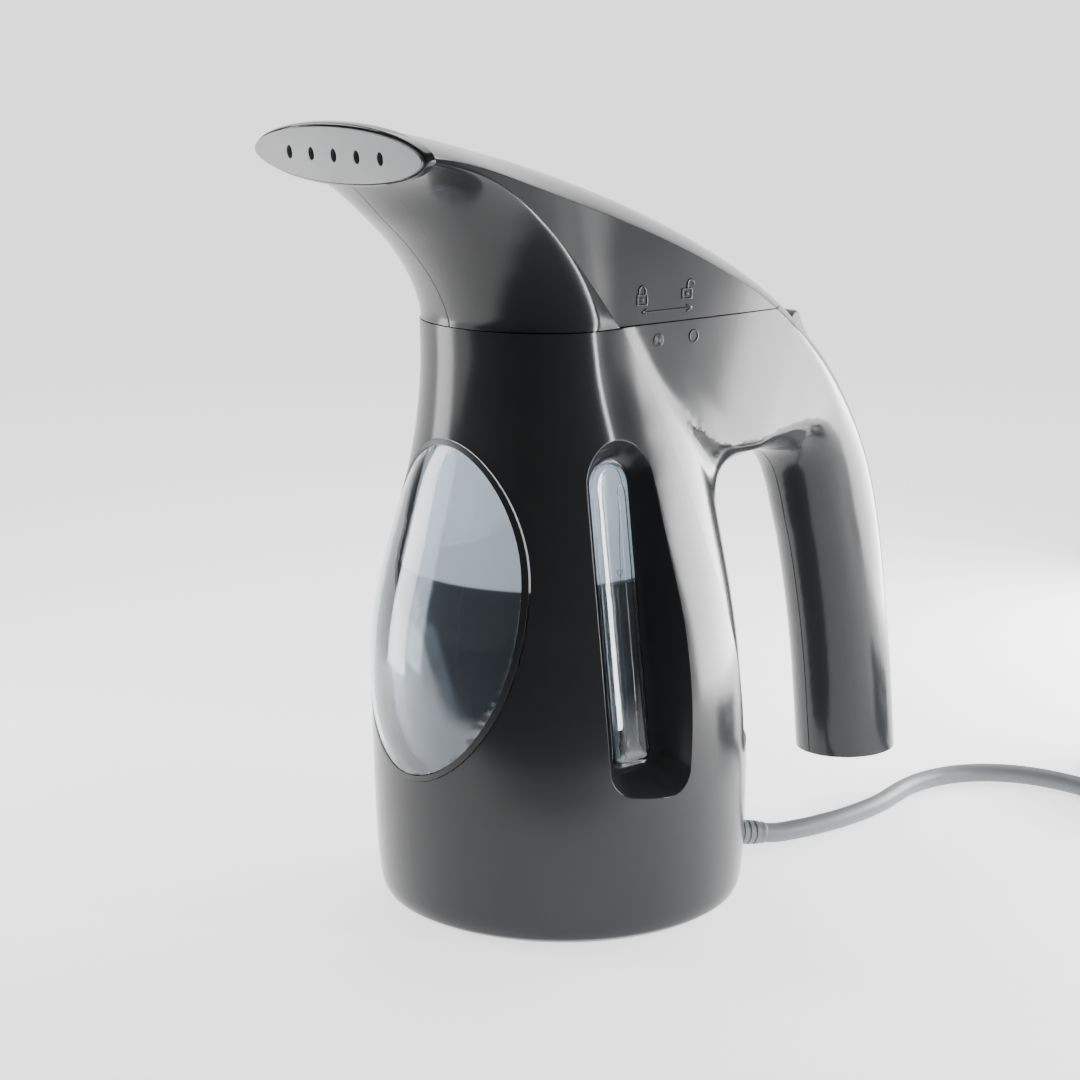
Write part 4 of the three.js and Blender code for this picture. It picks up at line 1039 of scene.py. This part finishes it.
class STEAMER_OT_nozzle(bpy.types.Operator):
    """Steam plate with five bevelled oval holes, in its dark bezel"""

    bl_idname = "steamer.nozzle"
    bl_label = "Steam plate and bezel"

    def execute(self, context):
        step, wide, high = 0.55, PLATE["half"], PLATE["high"]
        across, up = PLATE["round"]
        a, b = np.arange(-wide - 1, wide + 1.01, step), np.arange(-high - 1, high + 1.01, step)
        ga, gb = np.meshgrid(a, b)
        flat = np.stack([ga.ravel(), gb.ravel(), np.zeros(ga.size)], 1)
        faces = grid_faces(len(b), len(a))

        def inside_plate(p):
            rho = (np.abs(p[:, 0]) / wide) ** (2 / across) + (np.abs(p[:, 1]) / high) ** (2 / up)
            return (1 - rho) * high / 2

        def off_holes(p):
            best = np.full(len(p), float(FAR))
            for k in range(PLATE["holes"]):
                x = (k - (PLATE["holes"] - 1) / 2) * PLATE["pitch"]
                rho = np.hypot((p[:, 0] - x) / PLATE["hole"][0], p[:, 1] / PLATE["hole"][1])
                best = np.minimum(best, (rho - 1) * PLATE["hole"][0])
            return best

        flat, faces = trim(flat, faces, inside_plate)
        flat, faces = trim(flat, faces, off_holes)
        # The plate's face is crowned by a third of a millimetre, so that its gloss rolls.
        crown = 0.35 * (1 - (flat[:, 0] / wide) ** 2) * (1 - (flat[:, 1] / high) ** 2)
        face = PLATE["step"] + PLATE["thick"] - 0.35
        crowned = [on_nozzle(p[0], p[1], face + c) for p, c in zip(flat, crown)]
        plate = place("steam_plate_moulding", crowned, faces)
        merged(plate, 0.01)
        outward(plate, on_nozzle(0, 0, -30))
        apply(plate, "SOLIDIFY", thickness=2.6 * MM, offset=-1)
        soften(plate, 0.7, 0.8, lambda p: False)
        smooth(plate, 50)
        dress(plate, finish("silver"), "head", "silver_plastic", "steam_plate")

        profile = [(-3.6, 0.3), (1.0, 0.3), (1.2, 0.6), (1.2, 2.9), (1.0, 3.3), (0.7, 3.4), (0.4, 3.3),
                   (0.3, 3.0), (0.3, 1.6), (-3.4, 1.6), (-3.6, 1.4)]
        bezel = loop_of_rings("nozzle_bezel_moulding", [plate_ring(g, w) for g, w in profile])
        smooth(bezel, 40)
        dress(bezel, finish("gloss"), "head", "dark_plastic", "nozzle_bezel")
        return {"FINISHED"}


# ---- clear parts ----------------------------------------------------------------------------------------
class STEAMER_OT_window(bpy.types.Operator):
    """Bulging front window and the seal round it"""

    bl_idname = "steamer.window"
    bl_label = "Window and seal"

    def execute(self, context):
        inset = WINDOW["rim"] + 2 * GAP
        low, high = WINDOW["bottom"] - 5.5, WINDOW["top"] + 5
        points, faces = vessel_sheet(0, low, high, sides=300, step=1.3)
        points, faces = trim(points, faces, lambda p: -window_field(p, -inset))
        normal = slope_of(vessel_field, points)
        depth = -window_field(points, -inset)
        rise = 0.3 + sizes().bulge * (1 - np.exp(-np.maximum(depth, 0) / 5))
        lens = place("window_lens_moulding", points + normal * rise[:, None], faces)
        merged(lens, 0.01)
        outward(lens, (0, 0, 100))
        walled(lens, 2.0, 0.9, 0.5)
        dress(lens, finish("clear"), "body", "clear_plastic", "window_lens")

        points, faces = vessel_sheet(0.45, low, high, sides=420, step=1.0)
        points, faces = trim(points, faces, lambda p: -window_field(p, -GAP * 0.5))
        points, faces = trim(points, faces, lambda p: window_field(p, -GAP - WINDOW["rim"]))
        seal = place("window_seal", points, faces)
        merged(seal, 0.01)
        outward(seal, (0, 0, 100))
        walled(seal, 2.8, 0.9, 0.45)
        dress(seal, finish("rubber"), "body", "rubber", "window_gasket")
        return {"FINISHED"}


def slot_outline():
    """Places round the recess floor's outline, evenly along each stretch."""
    counts = [42, 28, 42, 7, 14, 7]
    return [(s, i / n) for s, n in enumerate(counts) for i in range(n)]


class STEAMER_OT_sight_glasses(bpy.types.Operator):
    """Clear slot covers in the recesses, each with a level line and a small triangle"""

    bl_idname = "steamer.sight_glasses"
    bl_label = "Sight glasses"

    def execute(self, context):
        inset = RECESS["inset"] + GAP
        places = slot_outline()
        floor = RECESS["floor"]

        def ring(side, more, w):
            sizes_here = (floor[0] - inset - more, floor[1] + inset + more, floor[2] - inset - more,
                          max(floor[3] - inset - more, 0.4))
            return [in_recess(side, *slot_point(s, k, *sizes_here), w) for s, k in places]

        for side, name in ((1, "right"), (-1, "left")):
            round_edge = [(1.7 * (1 - math.cos(t)), 0.7 + 1.7 * math.sin(t))
                          for t in np.linspace(0, math.pi / 2, 7)]
            profile = [(0, -2.1), (0, -1), (0, 0)] + round_edge + [(3.4, 2.42), (5.2, 2.45)]
            rings = [ring(side, more, w) for more, w in profile]
            n = len(places)
            faces = grid_faces(len(rings), n, closed=True)
            faces.append([(len(rings) - 1) * n + i for i in range(n)])
            glass = place(f"sight_glass_cover_{name}", [p for r in rings for p in r], faces)
            merged(glass, 0.005)
            outward(glass, in_recess(side, 0, 0, -8))
            walled(glass, 1.1, 0.5, 0.5)
            dress(glass, finish("clear"), "body", "clear_plastic", f"sight_glass_{name}")
            line = [([in_recess(side, u, 10, 2.5) for u in (-5.2, 5.2)], False)]
            mark = [([in_recess(side, u, v, 2.5) for u, v in ((-1.3, 14), (1.3, 14), (0, 11.6))], True)]
            level = stroke(f"level_mark_{name}", line + mark, 0.16)
            dress(level, finish("ink"), "body", "dark_plastic")
        return {"FINISHED"}


def tank_field(p, grow):
    """The water tank's outside, shrunk by a wall, clear of both recesses."""
    q = p.copy()
    q[:, 0] = np.abs(q[:, 0])
    u, v, w = recess_frame(q)
    half, low, high, corner = recess_sizes(np.maximum(w, -2.5))
    recess = np.maximum(slot_field(u, v, half, low, high, corner) - 2.5 - grow, -(w + 2.5 + grow))
    body = np.maximum(vessel_field(p, -TANK["in"] - grow), p[:, 1] - TANK["back"] + grow)
    return np.maximum(body, -recess)


class STEAMER_OT_tank(bpy.types.Operator):
    """Clear water tank and the water in it"""

    bl_idname = "steamer.tank"
    bl_label = "Tank and water"

    def execute(self, context):
        low, high = TANK["bottom"], TANK["top"]

        def solid(p, grow, top):
            return np.maximum(tank_field(p, grow), np.maximum(p[:, 2] - top, low + grow - p[:, 2]))

        for name, grow, top, wall, surface, slot in (
            ("water_tank_moulding", 0, high, 1.2, "tank", "clear_plastic"),
            ("tank_water", TANK["wall"], WATER_Z, 0, "water", "clear_plastic"),
        ):
            points, faces = skin_of(lambda p: solid(p, grow, top), (-62, -66, low - 4), (62, 52, top + 4), 2.2)
            obj = place(name, points, faces)
            merged(obj, 0.01)
            outward(obj, (0, 0, 80))
            if wall:
                apply(obj, "SOLIDIFY", thickness=wall * MM, offset=-1)
            smooth(obj, 40)
            dress(obj, finish(surface), "body", slot, *(["water_tank"] if wall else []))
        return {"FINISHED"}


# ---- switch, symbols and cord ---------------------------------------------------------------------------
def in_switch(along, out, x):
    """A point of the switch's leaning frame."""
    s = SWITCH["slope"]
    return [x, SWITCH["y"] + along * math.cos(s) + out * math.sin(s),
            SWITCH["z"] - along * math.sin(s) + out * math.cos(s)]


def curve_between(a, control, b, count):
    """Points of a curve from a to b that a control point pulls, without a itself."""
    return [tuple((1 - t) ** 2 * p + 2 * t * (1 - t) * c + t * t * q for p, c, q in zip(a, control, b))
            for t in np.linspace(0, 1, count + 1)[1:]]


class STEAMER_OT_rocker(bpy.types.Operator):
    """Rocker with a raised thumb end and grip ribs"""

    bl_idname = "steamer.rocker"
    bl_label = "Rocker"

    def execute(self, context):
        reach = SWITCH["length"] / 2
        outline = [(0.5 - reach, -2), (-reach / 2, -3.8), (0, -5.4), (reach / 2, -3.8), (reach - 0.5, -2),
                   (reach, 0.8)]
        outline += curve_between((reach, 0.8), (1, 0.9), (3.5 - reach, 5.3), 18)
        outline += curve_between((3.5 - reach, 5.3), (-reach, 5.6), (-reach, 3.4), 8)
        rocker = prism("rocker_cap", outline, in_switch, SWITCH["wide"])
        soften(rocker, 1.1, 0.5, lambda p: abs(abs(p.x) - SWITCH["wide"] / 2) < 0.2, angle=20)
        smooth(rocker, 40)
        ribs = []
        for k in range(sizes().ribs):
            along = -reach + 4.2 + 2.1 * k
            share = (along + reach - 3.5) / (2 * reach - 3.5)
            out = 5.3 * (1 - share) ** 2 + 2 * share * (1 - share) * 0.9 + share**2 * 0.8
            ribs.append(([in_switch(along, out + 0.05, x) for x in np.linspace(-4.2, 4.2, 8)], False))
        bars = stroke("rocker_ribs", ribs, 0.35)
        alone(rocker)
        bars.select_set(True)
        bpy.ops.object.join()
        dress(rocker, finish("silver"), "rocker", "silver_plastic", "rocker_switch")
        return {"FINISHED"}


def fin_side(y, z, side):
    """The point of the fin's or body's flank at (y, z)."""
    lo, hi = 10.0, 60.0
    field = spine_field if z > SPLIT_Z else rear_field
    for _ in range(22):
        mid = (lo + hi) / 2
        lo, hi = (mid, hi) if field(np.array([[mid, y, z]]))[0] < 0 else (lo, mid)
    return [side * (lo + 0.05), y, z]


def arc(cy, cz, ry, rz, start, end, count=14):
    """Points of an ellipse's arc between two angles in degrees."""
    return [(cy + ry * math.cos(t), cz + rz * math.sin(t)) for t in np.radians(np.linspace(start, end, count))]


class STEAMER_OT_symbols(bpy.types.Operator):
    """Raised marks on both flanks: closed and open padlocks with a double arrow, and a dot and a ring below"""

    bl_idname = "steamer.symbols"
    bl_label = "Symbols"

    def execute(self, context):
        def padlock(y, z, swing):
            body = [(y - 2.1, z - 2.2), (y + 2.1, z - 2.2), (y + 2.1, z + 1), (y - 2.1, z + 1)]
            shackle = [(y - 1.4 + swing, z + 1)] + arc(y + swing, z + 2.2, 1.4, 1.6, 180, 0)
            shackle += [] if swing else [(y + 1.4, z + 1)]
            keyhole = arc(y, z - 0.6, 0.45, 0.45, 0, 360, 10)
            return [(body, True), (shackle, False), (keyhole[:-1], True)]

        head = padlock(4.2, 203, 0) + padlock(24, 203.6, 1.6)
        head += [([(4.5, 198.4), (26, 198.4)], False), ([(6.4, 199.4), (4.2, 198.4), (6.4, 197.4)], False),
                 ([(24.1, 199.4), (26.3, 198.4), (24.1, 197.4)], False)]
        ring = arc(27.5, 189, 1.9, 1.9, 0, 360, 24)[:-1]
        dots = [(arc(11.5, 189, r, r, 0, 360, 24)[:-1], True) for r in (1.9, 1.3, 0.7, 0.2)]
        for body, marks, where in (("head", head, "head"), ("body", [(ring, True)] + dots, "body")):
            paths = []
            for side in (1, -1):
                for outline, closed in marks:
                    fine = []
                    count = len(outline) if closed else len(outline) - 1
                    for i in range(count):
                        (ay, az), (by, bz) = outline[i], outline[(i + 1) % len(outline)]
                        steps = max(1, int(math.hypot(by - ay, bz - az) / 1.2))
                        fine += [(ay + (by - ay) * k / steps, az + (bz - az) * k / steps)
                                 for k in range(steps)]
                    if not closed:
                        fine.append(outline[-1])
                    paths.append(([fin_side(y, z, side) for y, z in fine], closed))
            marks_obj = stroke(f"raised_marks_{where}", paths, sizes().bead)
            dress(marks_obj, finish("gloss"), body, "housing")
        return {"FINISHED"}


def coil_points():
    """The wound lead: in from the outer turn on the surface, then out again on top."""
    radii = list(COIL["turns"]) + list(reversed(COIL["turns"]))
    per = COIL["per_turn"]
    points = []
    for i in range(int(5.75 * per)):
        turn = i / per
        k = min(int(turn), 5)
        share = turn - k
        following = radii[min(k + 1, 5)]
        shift = min(max((share - 0.75) / 0.25, 0), 1)
        shift = shift * shift * (3 - 2 * shift)
        r = radii[k] + (following - radii[k]) * shift
        rises = [min(max((turn - start) / 0.25, 0), 1) for start in (2.5, 5.5)]
        z = CORD["radius"] * (1 + 2 * sum(t * t * (3 - 2 * t) for t in rises)) + 0.1
        a = -math.pi / 2 + 2 * math.pi * turn
        points.append((COIL["x"] + r * math.cos(a), COIL["y"] + r * math.sin(a), z))
    return points


class STEAMER_OT_cord(bpy.types.Operator):
    """Mains lead with its strain relief, coil, tie and plug"""

    bl_idname = "steamer.cord"
    bl_label = "Cord and plug"

    def execute(self, context):
        start, direction = relief_axis()
        ribs = []
        for k in range(6):
            h = 3.4 + 2.5 * k
            r = 4.8 - 0.7 * (h - 2) / (CORD["relief"] - 2)
            ribs += [(r, h - 0.75), (r, h + 0.75), (r - 0.55, h + 0.95), (r - 0.55, h + 1.55)]
        profile = [(0, -6), (4.6, -6), (4.8, -5.8), (4.8, 1.8)] + ribs + [(4.0, 18.6), (3.7, 19.4), (0, 19.5)]
        relief = turned("strain_relief_boot", profile, start, direction)
        smooth(relief, 35)
        dress(relief, finish("cord"), "body", "cord_pvc", "strain_relief")
        tail = [Vector(p) for p in TAIL_ROUTE]
        heading = (tail[-1] - tail[-2]).to_2d().to_3d().normalized()
        across = Vector((heading.y, -heading.x, 0))
        plug_z = 4 * CORD["radius"] + GAP + PLUG["high"] / 2
        nose = Vector((tail[-1].x, tail[-1].y, plug_z)) + heading * (GAP + CORD["radius"])

        def at_plug(along, a, b):
            p = nose + heading * along + across * a
            return [p.x, p.y, plug_z + b]

        rings = []
        around = np.linspace(0, 2 * math.pi, PLUG_POINTS, endpoint=False)
        neck, long = PLUG["neck"], PLUG["long"]
        stations = [(0, 4.0), (0.2, 4.4)]
        for k in range(4):
            base = 1.2 + 2.4 * k
            stations += [(base, 4.7 + 0.3 * k), (base + 1.1, 4.8 + 0.3 * k), (base + 1.4, 4.2 + 0.3 * k),
                         (base + 2.1, 4.3 + 0.3 * k)]
        for along, r in stations:
            rings.append([at_plug(along, r * math.cos(t), r * math.sin(t)) for t in around])
        body = [(neck - 0.2, 0.5), (neck + 0.6, 0.62), (neck + 2.4, 0.78), (neck + 5, 0.9), (neck + 9, 0.97),
                (neck + 14, 1.0), (neck + long - 1.6, 1.0), (neck + long - 0.5, 0.97), (neck + long, 0.92)]
        for along, share in body:
            wide, high = PLUG["wide"] / 2 * share, PLUG["high"] / 2 * min(share * 1.02, 1)
            power = 2 / (2 + 2.4 * min(1, (along - neck + 0.2) / 6))
            oval = [(wide * softened(math.cos(t), power), high * softened(math.sin(t), power)) for t in around]
            rings.append([at_plug(along, a, b) for a, b in oval])
        n = len(rings[0])
        faces = grid_faces(len(rings), n, closed=True)
        faces += [list(range(n)), [(len(rings) - 1) * n + i for i in range(n)]]
        plug = place("mains_plug", [p for r in rings for p in r], faces)
        merged(plug, 0.005)
        smooth(plug, 30)
        dress(plug, finish("cord"), "body", "cord_pvc", "plug_body")
        for side, name in ((1, "right"), (-1, "left")):
            x, half = side * PLUG["pitch"] / 2, PLUG["blade_high"] / 2
            thick, long_blade = PLUG["blade_thick"], PLUG["blade_long"]
            first = neck + long + GAP
            outline = [(first, -half), (first + long_blade - 2, -half), (first + long_blade, -half + 1.8),
                       (first + long_blade, half - 1.8), (first + long_blade - 2, half), (first, half)]
            blade = prism(f"blade_{name}", outline, lambda a, b, c: at_plug(a, x + c, b), thick)
            soften(blade, 0.3, 1.0, lambda p: True, angle=30, segments=2)
            smooth(blade, 40)
            dress(blade, finish("nickel"), "body", "element_steel", f"plug_blade_{name}")
        inner, outer = min(COIL["turns"]) - CORD["radius"], max(COIL["turns"]) + CORD["radius"]
        top = 4 * CORD["radius"]

        def corner(cy, r, begin, end):
            return arc(cy, top - 1, r, r, begin, end, 7)

        outside = [(outer + 1.5, 0.1), *corner(outer - 1, 2.5, 0, 90), *corner(inner, 2.5, 90, 180),
                   (inner - 2.5, 0.1)]
        inside = [(inner - 1.2, 0.1), *corner(inner, 1.25, 180, 90), *corner(outer - 1, 1.25, 90, 0),
                  (outer + 0.3, 0.1)]
        tie = prism("hook_and_loop_tie", outside + inside, lambda a, b, c: [COIL["x"] + c, COIL["y"] + a, b], 12)
        soften(tie, 0.4, 1.0, lambda p: True, angle=50, segments=2)
        smooth(tie, 40)
        dress(tie, finish("rubber"), "body", "rubber", "cord_tie")
        route = [tuple(start)] + list(LEAD_ROUTE) + coil_points() + list(TAIL_ROUTE)
        curve = bpy.data.curves.new("mains_lead", "CURVE")
        curve.dimensions = "3D"
        curve.bevel_depth = CORD["radius"] * MM
        curve.bevel_resolution = 6
        curve.resolution_u = 6
        curve.use_fill_caps = True
        spline = curve.splines.new("BEZIER")
        spline.bezier_points.add(len(route) - 1)
        for point, at in zip(spline.bezier_points, route):
            point.co = Vector(at) * MM
            point.handle_left_type = point.handle_right_type = "AUTO"
        lead = bpy.data.objects.new("mains_lead", curve)
        context.scene.collection.objects.link(lead)
        dress(lead, finish("cord"), "body", "cord_pvc", "cord_lead", "cord_coil", "cord_tail")
        return {"FINISHED"}


# ---- pieces kept from the frame -------------------------------------------------------------------------
KEPT = {
    "dark": ["base_cover", "neck_collar", "head_base", "switch_body", "switch_wire"],
    "rubber": ["heater_seal", "tank_seal", "neck_gasket"] + [f"foot_pad_{i}" for i in (1, 2, 3, 4)],
    "aluminium": ["heater_plate", "thermostat"],
    "steel": ["heating_element", "rocker_pin"] + [f"body_screw_{i}" for i in (1, 2, 3)]
    + [f"head_screw_{i}" for i in (1, 2)] + [f"base_screw_{i}" for i in (1, 2, 3, 4)],
    "white": ["thermal_fuse", "terminal_block", "splash_baffle", "steam_duct"],
}


class STEAMER_OT_kept_nodes(bpy.types.Operator):
    """Finishes for the pieces whose frame shape is shown as it is"""

    bl_idname = "steamer.kept_nodes"
    bl_label = "Inner pieces and fasteners"

    def execute(self, context):
        for name, nodes in KEPT.items():
            for node in nodes:
                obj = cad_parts[node]
                obj.data.materials.clear()
                obj.data.materials.append(finish(name))
        return {"FINISHED"}


# ---- studio ---------------------------------------------------------------------------------------------
# The product view: the lens in mm, the place in metres, and the tilt and turn in degrees.
CAMERA = {"lens": 82.07, "at": (0.6128, -0.5142, 0.294), "tilt": 77.7, "turn": 50.5}
# The direction that view looks from, in degrees round the vertical, and as a level direction.
CAMERA_TURN = -40
TOWARDS_CAMERA = (math.cos(math.radians(CAMERA_TURN)), math.sin(math.radians(CAMERA_TURN)), 0)
# The paper's painted glow ends and its painted shade begins this many metres from the origin towards the camera.
PAPER_PAINTED_SHADE = (0.15, 0.24)
# How strongly the paper glows where it is white, as painted light.
PAPER_PAINTED_GLOW = 1.6
FLOOR_SIZE = 20
# Standing softboxes: degrees to the right of the camera, then distance, bottom, top and width in metres, and
# radiance.
SOFTBOXES = [
    ("right_softbox", 118, 0.5, 0.0, 0.22, 0.46, 21),
    ("front_strip", 71, 0.5, 0.03, 0.24, 0.04, 55),
    ("left_softbox", -105, 0.5, 0.0, 0.6, 0.16, 9),
]


def softbox(name, at, target, wide, high, power):
    """An area light at a place, facing a target, in metres and watts."""
    data = bpy.data.lights.new(name, "AREA")
    data.shape = "RECTANGLE"
    data.size, data.size_y = wide, high
    data.energy = power
    obj = bpy.data.objects.new(name, data)
    bpy.context.scene.collection.objects.link(obj)
    obj.location = at
    obj.rotation_euler = (Vector(target) - Vector(at)).to_track_quat("-Z", "Y").to_euler()
    return obj


class STEAMER_OT_camera(bpy.types.Operator):
    """Camera at the product view"""

    bl_idname = "steamer.camera"
    bl_label = "Camera"

    def execute(self, context):
        data = bpy.data.cameras.new("product_camera")
        data.lens = CAMERA["lens"]
        data.sensor_width = 36
        camera = bpy.data.objects.new("product_camera", data)
        context.scene.collection.objects.link(camera)
        camera.location = CAMERA["at"]
        camera.rotation_euler = Euler((math.radians(CAMERA["tilt"]), 0, math.radians(CAMERA["turn"])))
        context.scene.camera = camera
        return {"FINISHED"}


class STEAMER_OT_stage(bpy.types.Operator):
    """Pale floor and backdrop, soft lights and a grey world"""

    bl_idname = "steamer.stage"
    bl_label = "Stage and lights"

    def execute(self, context):
        bpy.ops.mesh.primitive_plane_add(size=FLOOR_SIZE, location=(0, 0, -0.0002))
        floor = context.object
        floor.name = "studio_floor"
        floor.data.materials.append(finish("backdrop"))
        world = bpy.data.worlds.new("studio_world")
        world.use_nodes = True
        tree = world.node_tree
        tree.nodes.clear()
        # A white wall behind the steamer, and a dim room all round.
        facing = add_node(tree, "ShaderNodeVectorMath", {"operation": "DOT_PRODUCT"})
        tree.links.new(add_node(tree, "ShaderNodeTexCoord").outputs["Generated"], facing.inputs[0])
        facing.inputs[1].default_value = TOWARDS_CAMERA
        level = add_node(tree, "ShaderNodeMapRange", {
            "interpolation_type": "SMOOTHSTEP", "From Min": -0.93, "From Max": -0.6, "To Min": 2.0, "To Max": 0.2},
            {"Value": facing.outputs["Value"]})
        sky = add_node(tree, "ShaderNodeBackground", {"Color": (1, 1, 1, 1)}, {"Strength": level.outputs["Result"]})
        add_node(tree, "ShaderNodeOutputWorld", None, {"Surface": sky.outputs["Background"]})
        context.scene.world = world
        for name, turn, far, low, top, wide, radiance in SOFTBOXES:
            a = math.radians(CAMERA_TURN + turn)
            high = (low + top) / 2
            softbox(name, (far * math.cos(a), far * math.sin(a), high), (0, 0, high), wide, top - low,
                    radiance * math.pi * wide * (top - low))
        softbox("top_softbox", (-0.35, 0.3, 0.9), (0, 0, 0.1), 0.6, 0.6, 5)
        return {"FINISHED"}


class STEAMER_PT_panel(bpy.types.Panel):
    bl_label = "Garment steamer"
    bl_idname = "STEAMER_PT_panel"
    bl_space_type = "VIEW_3D"
    bl_region_type = "UI"
    bl_category = "Steamer"

    def draw(self, context):
        for group in (context.scene.steamer_sizes, context.scene.steamer_colours):
            for name in group.__annotations__:
                self.layout.prop(group, name)
        for operator in OPERATORS:
            self.layout.operator(operator.bl_idname)


OPERATORS = (
    STEAMER_OT_camera, STEAMER_OT_cord, STEAMER_OT_front_housing, STEAMER_OT_rear_housing,
    STEAMER_OT_head_shells, STEAMER_OT_nozzle, STEAMER_OT_window, STEAMER_OT_sight_glasses, STEAMER_OT_tank,
    STEAMER_OT_rocker, STEAMER_OT_symbols, STEAMER_OT_kept_nodes, STEAMER_OT_stage,
)
CLASSES = (SteamerSizes, SteamerColours, *OPERATORS, STEAMER_PT_panel)


def register():
    for cls in CLASSES:
        bpy.utils.register_class(cls)
    bpy.types.Scene.steamer_sizes = PointerProperty(type=SteamerSizes)
    bpy.types.Scene.steamer_colours = PointerProperty(type=SteamerColours)


def unregister():
    del bpy.types.Scene.steamer_sizes
    del bpy.types.Scene.steamer_colours
    for cls in reversed(CLASSES):
        bpy.utils.unregister_class(cls)


def main():
    register()
    for operator in OPERATORS:
        group, name = operator.bl_idname.split(".")
        getattr(getattr(bpy.ops, group), name)()


if __name__ == "__main__":
    main()
